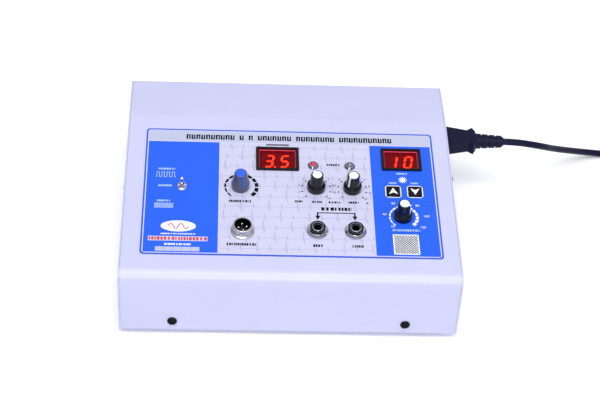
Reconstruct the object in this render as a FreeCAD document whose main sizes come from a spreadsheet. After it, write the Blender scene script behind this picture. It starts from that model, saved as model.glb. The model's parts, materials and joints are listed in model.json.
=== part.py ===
import FreeCAD, Part
import math
import os
import Sketcher

# Ultrasound therapy console: a folded sheet-metal case with a sloped control panel.
# Frame: X to the right, Y to the rear, Z up, millimetres. The origin is on the table,
# under the middle of the box that the object fills without its mains cord.

Vector = FreeCAD.Vector
Rotation = FreeCAD.Rotation
Placement = FreeCAD.Placement

os.makedirs("parts", exist_ok=True)
doc = FreeCAD.newDocument("console")
sheet = doc.addObject("Spreadsheet::Sheet", "Sizes")

# ---------------------------------------------------------------- driving dimensions
DIMENSIONS = {
    # case
    "case_width": 270, "case_depth": 220, "front_height": 56, "panel_run": 171,
    "panel_slope": 10, "rear_height": 89, "sheet_thick": 1.2, "bend_radius": 11,
    "rear_bend_radius": 2.5, "hem_height": 13, "fold_gap": 0.2, "lip_height": 17,
    "tab_length": 60, "tab_drop": 33, "front_proud": 2.2, "rear_proud": 5,
    # feet
    "foot_height": 6, "foot_radius": 8.5, "foot_inset_side": 24, "foot_inset_end": 28,
    # screws
    "head_radius": 3.9, "head_height": 2.2, "shank_radius": 1.5, "shank_length": 7, "recess_wide": 0.9,
    "front_screw_side": 92.7, "front_screw_rise": 9, "side_screw_back": 115,
    "left_screw_drop": 25, "right_screw_drop": 9, "rear_screw_side": 95, "rear_screw_drop": 7,
    # label and displays
    "label_left": 119, "label_right": 121, "label_low": 21.8, "label_high": 158.1,
    "label_thick": 0.3, "label_corner": 3,
    "power_display_wide": 35.5, "power_display_tall": 25.4,
    "timer_display_wide": 33.3, "timer_display_tall": 24,
    "bezel_border": 1.9, "bezel_proud": 1.8, "bezel_skirt": 4.2, "bezel_ledge": 0.4, "filter_thick": 1.5,
    "module_wide": 25.2, "module_tall": 18.2, "module_deep": 9.6,
    "board_thick": 1.6, "board_drop": 11.2,
    # knobs and potentiometers
    "knob_radius": 7.5, "knob_top_radius": 5.0, "knob_height": 16, "knob_gap": 0.6,
    "cap_radius": 3.9, "domed_cap_radius": 4.3, "cap_thick": 0.9, "shaft_radius": 3, "running_gap": 0.05,
    "bush_radius": 3.5, "pot_radius": 8, "pot_deep": 9,
    # keys
    "key_size": 10.6, "key_proud": 0.7, "key_travel": 0.5,
    # toggle
    "lever_length": 12.2, "lever_pivot": 2.8, "lever_tilt": 12.5,
    # probe socket and output jacks
    "socket_radius": 7.9, "socket_proud": 8.1, "socket_flange_radius": 9.4,
    "jack_bore": 3.25, "jack_bush_radius": 6.3, "jack_nut_radius": 8.8, "jack_proud": 5.2,
    "jack_deep": 26, "jack_sleeve_radius": 4.2, "jack_rim_radius": 4.9,
    # mains inlet, connector and cord
    "inlet_back": 190, "inlet_rise": 53, "inlet_wide": 26.8, "inlet_tall": 19.8, "inlet_deep": 18,
    "flange_wide": 50, "flange_tall": 23, "flange_thick": 2, "socket_wide": 25,
    "socket_tall": 17, "socket_deep": 14.5, "nose_wide": 24.4, "nose_tall": 16.4, "nose_end": 4,
    "neck_wide": 18.6, "neck_tall": 12.4, "neck_end": 24.7, "collar_wide": 22.6, "collar_tall": 15,
    "collar_end": 29.2, "grip_wide": 15, "grip_tall": 13, "grip_end": 31.8,
    "relief_end": 56.3, "relief_radius": 6.8, "relief_tip_radius": 5.1,
    "cord_radius": 3, "turn_pitch": 6.2, "coil_middle": 33.6, "coil_turns": 7.3,
    "plug_wide": 40, "plug_thick": 31, "plug_length": 40, "plug_relief": 34,
    # boards and transformer
    "pillar_height": 6, "core_wide": 66, "core_deep": 30, "core_height": 46,
}

# Control centres on the panel: u to the right of the middle, v up the slope from the front fold.
CONTROLS = {
    "intensity": (-40.4, 94.4), "channel1": (21.5, 94.3), "channel2": (51.1, 94.3),
    "frequency": (90.8, 65.0),
    "mode": (-87.8, 92.5), "probe": (-38.5, 47.0), "jack1": (21.3, 48.8),
    "jack2": (51.8, 48.8), "lamp1": (19.8, 119.2), "lamp2": (50.1, 119.2),
    "timer_lamp": (93.4, 105.4), "up_key": (84.8, 92.4), "down_key": (102.8, 92.6),
    "power_display": (-9.8, 125.5), "timer_display": (93.4, 127.5),
}
KNOBS = ("intensity", "channel1", "channel2", "frequency")
# Direction of each pointer at rest, in degrees anticlockwise from +u, seen from above the panel.
POINTERS = {"intensity": -68, "channel1": 124, "channel2": 231, "frequency": -24}


class Size(float):
    """A number that remembers the spreadsheet formula it comes from."""

    def __new__(cls, value, formula=None):
        number = float.__new__(cls, value)
        number.formula = formula or repr(round(float(value), 6))
        return number

    def join(self, other, sign, value):
        right = other if isinstance(other, Size) else Size(other)
        return Size(value, f"({self.formula} {sign} {right.formula})")

    def __add__(self, other):
        return self.join(other, "+", float(self) + float(other))

    def __sub__(self, other):
        return self.join(other, "-", float(self) - float(other))

    def __mul__(self, other):
        return self.join(other, "*", float(self) * float(other))

    def __truediv__(self, other):
        return self.join(other, "/", float(self) / float(other))

    def __radd__(self, other):
        return Size(other) + self

    def __rsub__(self, other):
        return Size(other) - self

    def __rmul__(self, other):
        return Size(other) * self

    def __neg__(self):
        return Size(-float(self), f"(0 - {self.formula})")


def fill_sheet():
    row = 1
    for alias, value in DIMENSIONS.items():
        sheet.set(f"A{row}", alias)
        sheet.set(f"B{row}", str(value))
        sheet.setAlias(f"B{row}", alias)
        row += 1
    for name, (across, along) in CONTROLS.items():
        for suffix, value in (("_across", across), ("_along", along)):
            sheet.set(f"A{row}", name + suffix)
            sheet.set(f"B{row}", str(value))
            sheet.setAlias(f"B{row}", name + suffix)
            row += 1
    doc.recompute()


fill_sheet()


def size(alias):
    return Size(sheet.get(alias), f"Sizes.{alias}")


def centre(name):
    return size(name + "_across"), size(name + "_along")


# ---------------------------------------------------------------- frame
SLOPE = math.radians(size("panel_slope"))
SHEET = size("sheet_thick")
GAP = size("fold_gap")
FLOOR = size("foot_height")
DEPTH = size("case_depth")
HALF_WIDTH = size("case_width") / 2
FRONT_Y = float(size("front_proud") - size("rear_proud") - DEPTH) / 2
CREASE_HEIGHT = float(size("front_height")) + float(size("panel_run")) * math.tan(SLOPE)


def world(x, back, rise):
    """A point given from the case: back from the front wall, rise above the case's underside."""
    return Vector(float(x), FRONT_Y + float(back), float(FLOOR) + float(rise))


def on_panel(u, v, lift=0.0, turn=0.0):
    """Placement with +Z along the panel's normal and +Y up its slope."""
    back = float(v) * math.cos(SLOPE) - lift * math.sin(SLOPE)
    rise = float(size("front_height")) + float(v) * math.sin(SLOPE) + lift * math.cos(SLOPE)
    tilt = Rotation(Vector(1, 0, 0), float(size("panel_slope")))
    return Placement(world(u, back, rise), tilt * Rotation(Vector(0, 0, 1), turn))


# ---------------------------------------------------------------- building helpers
nodes = []


def register(item, label, placement=None):
    """Make an object a sub-part: its label names its file."""
    item.Label = label
    if placement is not None:
        item.Placement = placement
    nodes.append(item)
    return item


def bind(item, prop, amount):
    setattr(item, prop, float(amount))
    if isinstance(amount, Size):
        item.setExpression(prop, amount.formula)


def box(length, width, height, x=0.0, y=0.0, z=0.0, centred=True):
    """A box on its base at z, centred on x and y unless told otherwise."""
    item = doc.addObject("Part::Box", "block")
    bind(item, "Length", length)
    bind(item, "Width", width)
    bind(item, "Height", height)
    shift = 0.5 if centred else 0.0
    item.Placement.Base = Vector(float(x) - shift * float(length), float(y) - shift * float(width), float(z))
    return item


def cylinder(radius, height, x=0.0, y=0.0, z=0.0, axis=Vector(0, 0, 1)):
    item = doc.addObject("Part::Cylinder", "round")
    bind(item, "Radius", radius)
    bind(item, "Height", height)
    turn = Rotation(Vector(0, 0, 1), axis)
    item.Placement = Placement(Vector(float(x), float(y), float(z)), turn)
    return item


def cone(low_radius, high_radius, height, z=0.0):
    item = doc.addObject("Part::Cone", "taper")
    bind(item, "Radius1", low_radius)
    bind(item, "Radius2", high_radius)
    bind(item, "Height", height)
    item.Placement.Base = Vector(0, 0, float(z))
    return item


def moved(item, placement):
    item.Placement = placement.multiply(item.Placement)
    return item


def fused(parts):
    if len(parts) == 1:
        return parts[0]
    item = doc.addObject("Part::MultiFuse", "joined")
    item.Shapes = parts
    return item


def cut(base, tools):
    item = doc.addObject("Part::Cut", "cut")
    item.Base = base
    item.Tool = fused(tools)
    return item


def rounded(item, radius, choose):
    """Round the edges that choose(edge) picks."""
    doc.recompute()
    fillet = doc.addObject("Part::Fillet", "rounded")
    fillet.Base = item
    edges = enumerate(item.Shape.Edges, start=1)
    fillet.Edges = [(index, float(radius), float(radius)) for index, edge in edges if choose(edge)]
    return fillet


def upright(edge):
    """True for a straight edge along Z."""
    if edge.Curve.TypeId != "Part::GeomLine":
        return False
    return abs(abs(edge.Curve.Direction.z) - 1) < 1e-6


def make_body(name):
    return doc.addObject("PartDesign::Body", name)


def make_sketch(body, role, offset=0.0):
    """A sketch on one of the body's origin planes, moved along the plane's normal."""
    sketch = body.newObject("Sketcher::SketchObject", "sketch")
    plane = next(item for item in body.Origin.OriginFeatures if item.Role == role)
    sketch.AttachmentSupport = (plane, [""])
    sketch.MapMode = "FlatFace"
    sketch.AttachmentOffset = Placement(Vector(0, 0, float(offset)), Rotation())
    return sketch


def fix_point(sketch, curve, end, point):
    """Tie a curve's end to the sketch's origin by the sizes in the point."""
    for kind, amount in (("DistanceX", point[0]), ("DistanceY", point[1])):
        if not isinstance(amount, Size) or abs(amount) < 1e-9:
            continue
        ends = (-1, 1, curve, end) if amount > 0 else (curve, end, -1, 1)
        index = sketch.addConstraint(Sketcher.Constraint(kind, *ends, abs(float(amount))))
        formula = amount.formula if amount > 0 else f"0 - {amount.formula}"
        sketch.setExpression(f"Constraints[{index}]", formula)


def corner_arc(before, corner, after, radius):
    """Tangent points and middle point of the arc that rounds a corner."""
    back = (before - corner).normalize()
    ahead = (after - corner).normalize()
    half = back.getAngle(ahead) / 2
    reach = radius / math.tan(half)
    bisector = (back + ahead).normalize()
    middle = corner + bisector * (radius / math.sin(half) - radius)
    return corner + back * reach, middle, corner + ahead * reach


def outline(sketch, corners):
    """Closed outline through (x, y) or (x, y, radius) corners, rounded where a radius is given."""
    points = [Vector(float(c[0]), float(c[1]), 0) for c in corners]
    radii = [float(c[2]) if len(c) > 2 else 0.0 for c in corners]
    starts, ends, arcs = [], [], []
    for index, point in enumerate(points):
        if radii[index] > 0:
            ahead = points[(index + 1) % len(points)]
            first, middle, last = corner_arc(points[index - 1], point, ahead, radii[index])
            arcs.append(Part.Arc(first, middle, last))
            ends.append(first)
            starts.append(last)
        else:
            arcs.append(None)
            ends.append(point)
            starts.append(point)
    for index in range(len(points)):
        following = (index + 1) % len(points)
        line = sketch.addGeometry(Part.LineSegment(starts[index], ends[following]), False)
        if radii[index] == 0:
            fix_point(sketch, line, 1, corners[index])
        if radii[following] == 0:
            fix_point(sketch, line, 2, corners[following])
        if arcs[following] is not None:
            sketch.addGeometry(arcs[following], False)


def pad(body, sketch, length, both_ways=False, backward=False):
    feature = body.newObject("PartDesign::Pad", "pad")
    feature.Profile = sketch
    bind(feature, "Length", length)
    feature.Midplane = both_ways
    feature.Reversed = backward
    body.Tip = feature
    return feature


def pocket(body, sketch, length, both_ways=False, backward=False):
    feature = body.newObject("PartDesign::Pocket", "pocket")
    feature.Profile = sketch
    bind(feature, "Length", length)
    feature.Midplane = both_ways
    feature.Reversed = backward
    body.Tip = feature
    return feature


def turned(name, corners):
    """A body turned about Z from a half outline of (radius, height[, rounding]) corners."""
    body = make_body(name)
    sketch = make_sketch(body, "XZ_Plane")
    outline(sketch, corners)
    feature = body.newObject("PartDesign::Revolution", "turned")
    feature.Profile = sketch
    feature.ReferenceAxis = (sketch, ["V_Axis"])
    feature.Angle = 360
    body.Tip = feature
    return body


def copies(label, template, placements):
    """Identical pieces as one node: a compound of separate placed solids."""
    doc.recompute()
    solids = []
    for placement in placements:
        solid = template.Shape.copy()
        solid.Placement = placement.multiply(solid.Placement)
        solids.append(solid)
    item = doc.addObject("Part::Feature", label)
    item.Shape = Part.makeCompound(solids)
    return register(item, label)


def group(label, parts):
    """Pieces of one kind as one node: a compound of separate solids."""
    doc.recompute()
    item = doc.addObject("Part::Feature", label)
    item.Shape = Part.makeCompound([part.Shape for part in parts])
    return register(item, label)


def facing(direction, point):
    """Placement that turns local +Z to a direction."""
    return Placement(point, Rotation(Vector(0, 0, 1), direction))


# ---------------------------------------------------------------- case
def offset_chain(points, distance):
    """The chain of points moved sideways to its right by a distance, mitred at each corner."""
    moved_points = []
    for index, point in enumerate(points):
        neighbours = points[max(index - 1, 0)], points[min(index + 1, len(points) - 1)]
        sides = []
        if index > 0:
            sides.append((point - neighbours[0]).normalize())
        if index < len(points) - 1:
            sides.append((neighbours[1] - point).normalize())
        normals = [Vector(side.y, -side.x, 0) for side in sides]
        mean = (normals[0] + normals[-1]).normalize()
        moved_points.append(point + mean * (distance / mean.dot(normals[0])))
    return moved_points


def case_profile():
    """Outer corners of the case's side, from the front's foot over the top to the rear."""
    steps = ((0, 0), (0, size("front_height")), (size("panel_run"), CREASE_HEIGHT),
             (DEPTH, size("rear_height")))
    return [Vector(float(back), float(rise), 0) for back, rise in steps]


def to_sketch(point, radius=None):
    """A side point as a sketch corner on the YZ plane, in the object's frame."""
    corner = (FRONT_Y + point.x, float(FLOOR) + point.y)
    return corner if radius is None else corner + (radius,)


BENDS = [0.0, float(size("bend_radius")), 0.0, float(size("rear_bend_radius"))]
FRONT_SCREWS = [(side * size("front_screw_side"), size("front_screw_rise")) for side in (-1, 1)]
SIDE_TOP = float(size("front_height")) + float(size("side_screw_back")) * math.tan(SLOPE)
# The side screws: the left one sits lower down its wall than the right one.
SIDE_SCREWS = [(side, SIDE_TOP - float(size(drop)))
               for side, drop in ((-1, "left_screw_drop"), (1, "right_screw_drop"))]
REAR_SCREW_RISE = size("rear_height") - size("rear_screw_drop")
ACROSS = Vector(1, 0, 0)
BACKWARD = Vector(0, 1, 0)


def panel_holes(grow=0.0):
    """Cutters for every opening in the sloped panel, in the panel's own frame."""
    radii = {"intensity": 3.7, "channel1": 3.7, "channel2": 3.7, "frequency": 3.7, "mode": 3.15,
             "probe": 7.8, "jack1": 6.5, "jack2": 6.5, "lamp1": 3.7, "lamp2": 3.7, "timer_lamp": 1.65}
    tools = []
    for name, radius in radii.items():
        u, v = centre(name)
        tools.append(cylinder(radius + grow, 6, u, v, -3))
    for name in ("power_display", "timer_display"):
        u, v = centre(name)
        wide = size(name + "_wide") - size("bezel_border") * 2 + 1.9 + 2 * grow
        tall = size(name + "_tall") - size("bezel_border") * 2 + 1.9 + 2 * grow
        tools.append(box(wide, tall, 6, u, v, -3))
    for name in ("up_key", "down_key"):
        u, v = centre(name)
        side = size("key_size") + 0.7 + 2 * grow
        tools.append(box(side, side, 6, u, v, -3))
    return [moved(tool, on_panel(0, 0)) for tool in tools]


def make_cover():
    """Front wall, sloped panel, top strip and rear hem, folded from one sheet."""
    outer = case_profile()
    outer.append(Vector(float(DEPTH), float(size("rear_height") - size("hem_height")), 0))
    inner = offset_chain(outer, float(SHEET))
    radii = BENDS + [0.0]
    corners = [to_sketch(point, radius) for point, radius in zip(outer, radii)]
    inner_radii = [max(radius - float(SHEET), 0.0) for radius in radii]
    corners += [to_sketch(point, radius) for point, radius in zip(inner[::-1], inner_radii[::-1])]
    body = make_body("cover_sheet")
    sketch = make_sketch(body, "YZ_Plane")
    outline(sketch, corners)
    half = HALF_WIDTH - SHEET - GAP
    pad(body, sketch, half * 2, both_ways=True)
    for side in (-1, 1):
        tab = make_sketch(body, "YZ_Plane", side * (half - (SHEET if side > 0 else 0)))
        middle = float(size("side_screw_back"))
        reach = float(size("tab_length")) / 2
        root = [Vector(middle - reach, float(size("front_height")) + (middle - reach) * math.tan(SLOPE), 0),
                Vector(middle + reach, float(size("front_height")) + (middle + reach) * math.tan(SLOPE), 0)]
        low = [Vector(point.x, point.y - float(size("tab_drop")), 0) for point in root]
        bury = Vector(0, -float(SHEET) / 2, 0)
        outline(tab, [to_sketch(root[0] + bury), to_sketch(root[1] + bury),
                      to_sketch(low[1], 4), to_sketch(low[0], 4)])
        pad(body, tab, SHEET)
    tools = panel_holes()
    for x, rise in FRONT_SCREWS:
        tools.append(cylinder(1.8, 6, *world(x, -2, rise), BACKWARD))
    for side, rise in SIDE_SCREWS:
        rear_hole = world(side * size("rear_screw_side"), DEPTH - 4, REAR_SCREW_RISE)
        tools.append(cylinder(1.8, 8, *rear_hole, BACKWARD))
        start = -(HALF_WIDTH + 2) if side < 0 else HALF_WIDTH - 6
        tools.append(cylinder(1.6, 8, *world(start, size("side_screw_back"), rise), ACROSS))
    return register(cut(body, tools), "top_cover")


ROCKER = {"x": 70, "rise": 40, "wide": 19.2, "tall": 13.2}
FUSE = {"x": 40, "rise": 40, "radius": 6.4}


def make_tray():
    """Floor, side walls, rear wall and front lip, folded and welded."""
    body = make_body("tray_sheet")
    profile = case_profile() + [Vector(float(DEPTH), 0, 0)]
    sketch = make_sketch(body, "YZ_Plane")
    outline(sketch, [to_sketch(point, radius) for point, radius in zip(profile, BENDS + [0.0])])
    pad(body, sketch, size("case_width"), both_ways=True)
    inside = make_sketch(body, "YZ_Plane")
    lip_back = float(SHEET + GAP)
    rear_face = float(DEPTH - SHEET - GAP)
    steps = ((-1, -1), (lip_back, -1), (lip_back, float(SHEET)), (rear_face, float(SHEET)), (rear_face, -1),
             (float(DEPTH) + 1, -1), (float(DEPTH) + 1, 120), (-1, 120))
    outline(inside, [to_sketch(Vector(back, rise, 0)) for back, rise in steps])
    clear = size("case_width") - SHEET * 2
    pocket(body, inside, clear, both_ways=True)
    half = float(clear) / 2
    rear_top = float(FLOOR + size("rear_height") - SHEET) - 1.4
    walls = ((rear_face, rear_top), (lip_back + float(SHEET), float(FLOOR + size("lip_height"))))
    for back, top in walls:
        wall = make_sketch(body, "XZ_Plane", -(FRONT_Y + back))
        outline(wall, [(-half, float(FLOOR)), (half, float(FLOOR)), (half, top), (-half, top)])
        pad(body, wall, SHEET)
    return body


def tray_holes():
    tools = []
    for x, rise in FRONT_SCREWS:
        tools.append(cylinder(1.55, 5, *world(x, 0.5, rise), BACKWARD))
    for side, rise in SIDE_SCREWS:
        rear_hole = world(side * size("rear_screw_side"), DEPTH - 5, REAR_SCREW_RISE)
        tools.append(cylinder(1.55, 6, *rear_hole, BACKWARD))
        start = -(HALF_WIDTH + 2) if side < 0 else HALF_WIDTH - 3
        tools.append(cylinder(1.8, 5, *world(start, size("side_screw_back"), rise), ACROSS))
    for x, y in foot_centres():
        tools.append(cylinder(2.1, 4, x, y, FLOOR - 1))
    inlet = world(HALF_WIDTH, size("inlet_back"), size("inlet_rise"))
    opening_wide, opening_tall = size("inlet_wide") + 0.4, size("inlet_tall") + 0.4
    tools.append(box(8, opening_wide, opening_tall, inlet.x, inlet.y, inlet.z - float(opening_tall) / 2))
    for side in (-1, 1):
        tools.append(cylinder(1.6, 6, inlet.x - 4, inlet.y + side * 20, inlet.z, ACROSS))
    rocker = world(ROCKER["x"], DEPTH, ROCKER["rise"])
    tools.append(box(ROCKER["wide"], 8, ROCKER["tall"], rocker.x, rocker.y, rocker.z - ROCKER["tall"] / 2))
    tools.append(cylinder(FUSE["radius"], 8, *world(FUSE["x"], DEPTH - 6, FUSE["rise"]), BACKWARD))
    for column in range(9):
        for row in range(2):
            slot = world(-90 + column * 9, DEPTH, 30 + row * 26)
            tools.append(box(3, 8, 20, slot.x, slot.y, slot.z - 10))
    return tools


def foot_centres():
    across = float(HALF_WIDTH - size("foot_inset_side"))
    ends = (FRONT_Y + float(size("foot_inset_end")), FRONT_Y + float(DEPTH - size("foot_inset_end")))
    return [(side * across, y) for side in (-1, 1) for y in ends]


def make_case():
    register(cut(make_tray(), tray_holes()), "base_tray")
    make_cover()
    rim = size("foot_radius")
    foot = turned("foot_shape", [(2.1, FLOOR), (2.1, 3.2), (4.6, 3.2), (4.6, 0),
                                 (rim - 1, 0, 0.8), (rim, FLOOR)])
    copies("rubber_feet", foot, [Placement(Vector(x, y, 0), Rotation()) for x, y in foot_centres()])
    screw = turned("foot_screw_shape", [(0, 0.9), (3.2, 0.9, 0.6), (3.9, 3.2), (1.9, 3.2),
                                        (1.9, 12), (0, 12)])
    copies("foot_screws", screw, [Placement(Vector(x, y, 0), Rotation()) for x, y in foot_centres()])
    make_cover_screws()
    make_label()


RECESS = size("recess_wide")


def make_cover_screws():
    """Truss-head screws: two at the front, one in each side and two at the rear."""
    rim = size("head_radius")
    foot = -size("shank_length")
    screw = turned("cover_screw_shape", [(0, foot), (size("shank_radius"), foot),
                                         (size("shank_radius"), 0), (rim, 0), (rim, 0.6),
                                         (2.6, size("head_height") - 0.35), (1.2, size("head_height")),
                                         (0, size("head_height"))])
    recess = [box(*sides, 2, z=size("head_height") - 1) for sides in ((4, RECESS), (RECESS, 4))]
    screw = cut(screw, recess)
    places = [facing(Vector(0, -1, 0), world(x, 0, rise)) for x, rise in FRONT_SCREWS]
    for side, rise in SIDE_SCREWS:
        places.append(facing(Vector(side, 0, 0), world(side * HALF_WIDTH, size("side_screw_back"), rise)))
        places.append(facing(BACKWARD, world(side * size("rear_screw_side"), DEPTH, REAR_SCREW_RISE)))
    copies("cover_screws", screw, places)


def make_label():
    """Printed polycarbonate overlay stuck to the panel."""
    wide = size("label_left") + size("label_right")
    tall = size("label_high") - size("label_low")
    u = float(size("label_right") - size("label_left")) / 2
    v = float(size("label_high") + size("label_low")) / 2
    blank = rounded(box(wide, tall, size("label_thick"), u, v), size("label_corner"), upright)
    plate = moved(fused([blank]), on_panel(0, 0))
    register(cut(plate, panel_holes(0.15)), "control_label")


# ---------------------------------------------------------------- displays, boards, keys, lamps
LABEL = float(size("label_thick"))


DISPLAYS = ("power_display", "timer_display")
FILTER_SEAT = -0.6
MODULE_FACE = -1.6
MODULE_SHIFT = -0.2


def make_bezel(name):
    """Snap-in display bezel with a ledge for its filter."""
    wide, tall = size(name + "_wide"), size(name + "_tall")
    window_wide, window_tall = wide - size("bezel_border") * 2, tall - size("bezel_border") * 2
    flange = rounded(box(wide, tall, size("bezel_proud"), z=LABEL), 0.8, upright)
    skirt = box(window_wide + 1.6, window_tall + 1.6, size("bezel_skirt") + LABEL, z=-size("bezel_skirt"))
    pocket_box = box(window_wide, window_tall, 6, z=FILTER_SEAT)
    ledge = size("bezel_ledge") * 2
    opening = box(window_wide - ledge, window_tall - ledge, 8, z=-size("bezel_skirt") - 1)
    bezel = cut(fused([flange, skirt]), [pocket_box, opening])
    register(bezel, name + "_bezel", on_panel(*centre(name)))
    glass = box(window_wide - 0.1, window_tall - 0.1, size("filter_thick"), z=FILTER_SEAT)
    return moved(glass, on_panel(*centre(name)))


def make_displays():
    """Two bezels, their red filters and the two-digit modules behind them."""
    group("display_filters", [make_bezel(name) for name in DISPLAYS])
    deep = size("module_deep")
    module = box(size("module_wide"), size("module_tall"), deep, y=MODULE_SHIFT, z=MODULE_FACE - deep)
    copies("display_modules", module, [on_panel(*centre(name)) for name in DISPLAYS])


def make_boards():
    """The small display board and the timer board with its two key switches."""
    top = -float(size("board_drop"))
    low = top - float(size("board_thick"))
    u, v = centre("power_display")
    small = moved(box(46, 30, size("board_thick"), u, v, low), on_panel(0, 0))
    u, v = centre("timer_display")
    middle = float(v) - 18
    parts = [box(46, 66, size("board_thick"), u, middle, low)]
    for key in ("up_key", "down_key"):
        key_u, key_v = centre(key)
        parts.append(box(6, 6, SWITCH_BODY, key_u, key_v, top))
        parts.append(cylinder(1.7, SWITCH_BUTTON, key_u, key_v, top + SWITCH_BODY))
    group("panel_boards", [small, moved(fused(parts), on_panel(0, 0))])
    pillar = cylinder(2.2, size("board_drop") - SHEET, z=top)
    places = []
    for name, reach_u, reach_v, drop in (("power_display", 20, 12, 0), ("timer_display", 20, 30, 18)):
        u, v = centre(name)
        for side in (-1, 1):
            for end in (-1, 1):
                places.append(on_panel(float(u) + side * reach_u, float(v) - drop + end * reach_v))
    copies("panel_spacers", pillar, places)


KEY_FOOT = 2.4
SWITCH_BODY, SWITCH_BUTTON = 3.6, 2.0


def make_key(name):
    """Square key: cap through the panel, retaining flange and stem below it."""
    side = size("key_size")
    top = LABEL + float(size("key_proud"))
    cap = rounded(box(side, side, KEY_FOOT + top, z=-KEY_FOOT), 1.8, upright)
    flange = box(side + 2, side + 2, 1.0, z=-KEY_FOOT)
    button_top = SWITCH_BODY + SWITCH_BUTTON - float(size("board_drop"))
    stem_foot = button_top + float(size("key_travel")) + 0.2
    stem = cylinder(1.5, -KEY_FOOT - stem_foot, z=stem_foot)
    register(fused([cap, flange, stem]), name, on_panel(*centre(name)))


def make_lamps():
    u, v = centre("timer_lamp")
    small = turned("timer_lamp_shape", [(0, -4), (1.9, -4), (1.9, -3), (1.5, -3),
                                        (1.5, 1.7, 1.45), (0, 1.7)])
    register(small, "timer_led", on_panel(u, v))
    rim = turned("lamp_bezel_shape", [(2.6, -6), (3.5, -6), (3.5, LABEL), (4.5, LABEL), (4.5, 1.2, 0.3),
                                      (3.3, 2.6, 0.3), (2.6, 2.6)])
    copies("led_bezels", rim, [on_panel(*centre("lamp1")), on_panel(*centre("lamp2"))])
    bulb = turned("lamp_shape", [(0, -7.4), (2.9, -7.4), (2.9, -6.4), (2.5, -6.4),
                                 (2.5, 4.0, 2.4), (0, 4.0)])
    copies("channel_leds", bulb, [on_panel(*centre("lamp1")), on_panel(*centre("lamp2"))])


# ---------------------------------------------------------------- knobs
# Radius and height over the foot where the grip begins, name of the cap's radius, and its dome.
KNOB_FORMS = {"intensity": (7.1, 5.4, "domed_cap_radius", 0.9)}
PLAIN_FORM = (5.7, 6.6, "cap_radius", 0.2)
SLOT_WIDE, SLOT_DEEP, SLOT_GAP = 1.6, 0.4, 0.05


def make_knob(name):
    """Skirted knob, its coloured cap with pointer, and the potentiometer shaft that turns it."""
    place = on_panel(*centre(name), turn=POINTERS[name])
    base = LABEL + float(size("knob_gap"))
    top = base + float(size("knob_height"))
    radius, crown = size("knob_radius"), size("knob_top_radius")
    grip_radius, grip_foot, cap_size, dome = KNOB_FORMS.get(name, PLAIN_FORM)
    bore = size("shaft_radius") + 0.02
    cap_radius = size(cap_size)
    cap_seat = top - float(size("cap_thick")) + 0.3
    body = turned(name + "_knob_shape", [
        (bore, base + 2.6), (6.2, base + 2.6), (6.2, base), (radius, base), (radius, base + 4.4, 1.2),
        (grip_radius, base + grip_foot, 0.6), (crown, top, 0.5), (cap_radius + 0.05, top),
        (cap_radius + 0.05, cap_seat), (0, cap_seat), (0, top - 3), (bore, top - 3)])
    rise = top - base - grip_foot
    lean = math.degrees(math.atan2(grip_radius - float(crown), rise))
    slant = Placement(Vector(grip_radius, 0, base + grip_foot), Rotation(Vector(0, 1, 0), -lean))
    slot = moved(box(4 * SLOT_DEEP, SLOT_WIDE, 2 * rise, x=SLOT_DEEP), slant)
    notch = box(3, SLOT_WIDE, 3, x=5.0, z=top - 0.25)
    register(cut(body, [slot, notch]), name + "_knob", place)
    cap_top = cap_seat + float(size("cap_thick"))
    disc = turned(name + "_cap_shape", [(0, cap_seat), (cap_radius, cap_seat), (cap_radius, cap_top, 0.2),
                                        (0, cap_top + dome)])
    bar = box(2.2, SLOT_WIDE - 2 * SLOT_GAP, 0.5, x=4.0, z=top - 0.2)
    line_long = rise / math.cos(math.radians(lean))
    line = box(0.55, SLOT_WIDE - 2 * SLOT_GAP, line_long, x=0.275 - SLOT_DEEP, z=SLOT_GAP)
    register(fused([disc, bar, moved(line, slant)]), name + "_knob_cap", place)
    shaft = cylinder(size("shaft_radius"), top - 3 + SHAFT_FOOT, z=-SHAFT_FOOT)
    register(moved(shaft, place), name + "_shaft")


def hexagon(radius, height, bore, z):
    """A hexagon nut with its bore, standing on z."""
    prism = doc.addObject("Part::Prism", "hexagon")
    prism.Polygon = 6
    bind(prism, "Circumradius", radius)
    bind(prism, "Height", height)
    prism.Placement.Base = Vector(0, 0, float(z))
    return cut(prism, [cylinder(bore, float(height) + 2, z=float(z) - 1)])


SHAFT_FOOT = 6.0


def make_knobs():
    for name in KNOBS:
        make_knob(name)
    under = -float(SHEET)
    bore = size("shaft_radius") + size("running_gap")
    bush_top = LABEL + 2.4
    pot = turned("pot_shape", [
        (0, under - size("pot_deep")), (size("pot_radius"), under - size("pot_deep")),
        (size("pot_radius"), under), (size("bush_radius"), under), (size("bush_radius"), bush_top),
        (bore, bush_top), (bore, -SHAFT_FOOT - 0.5), (0, -SHAFT_FOOT - 0.5)])
    places = [on_panel(*centre(name)) for name in KNOBS]
    copies("potentiometers", pot, places)
    copies("pot_nuts", hexagon(5.6, 1.9, size("bush_radius"), LABEL), places)


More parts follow.
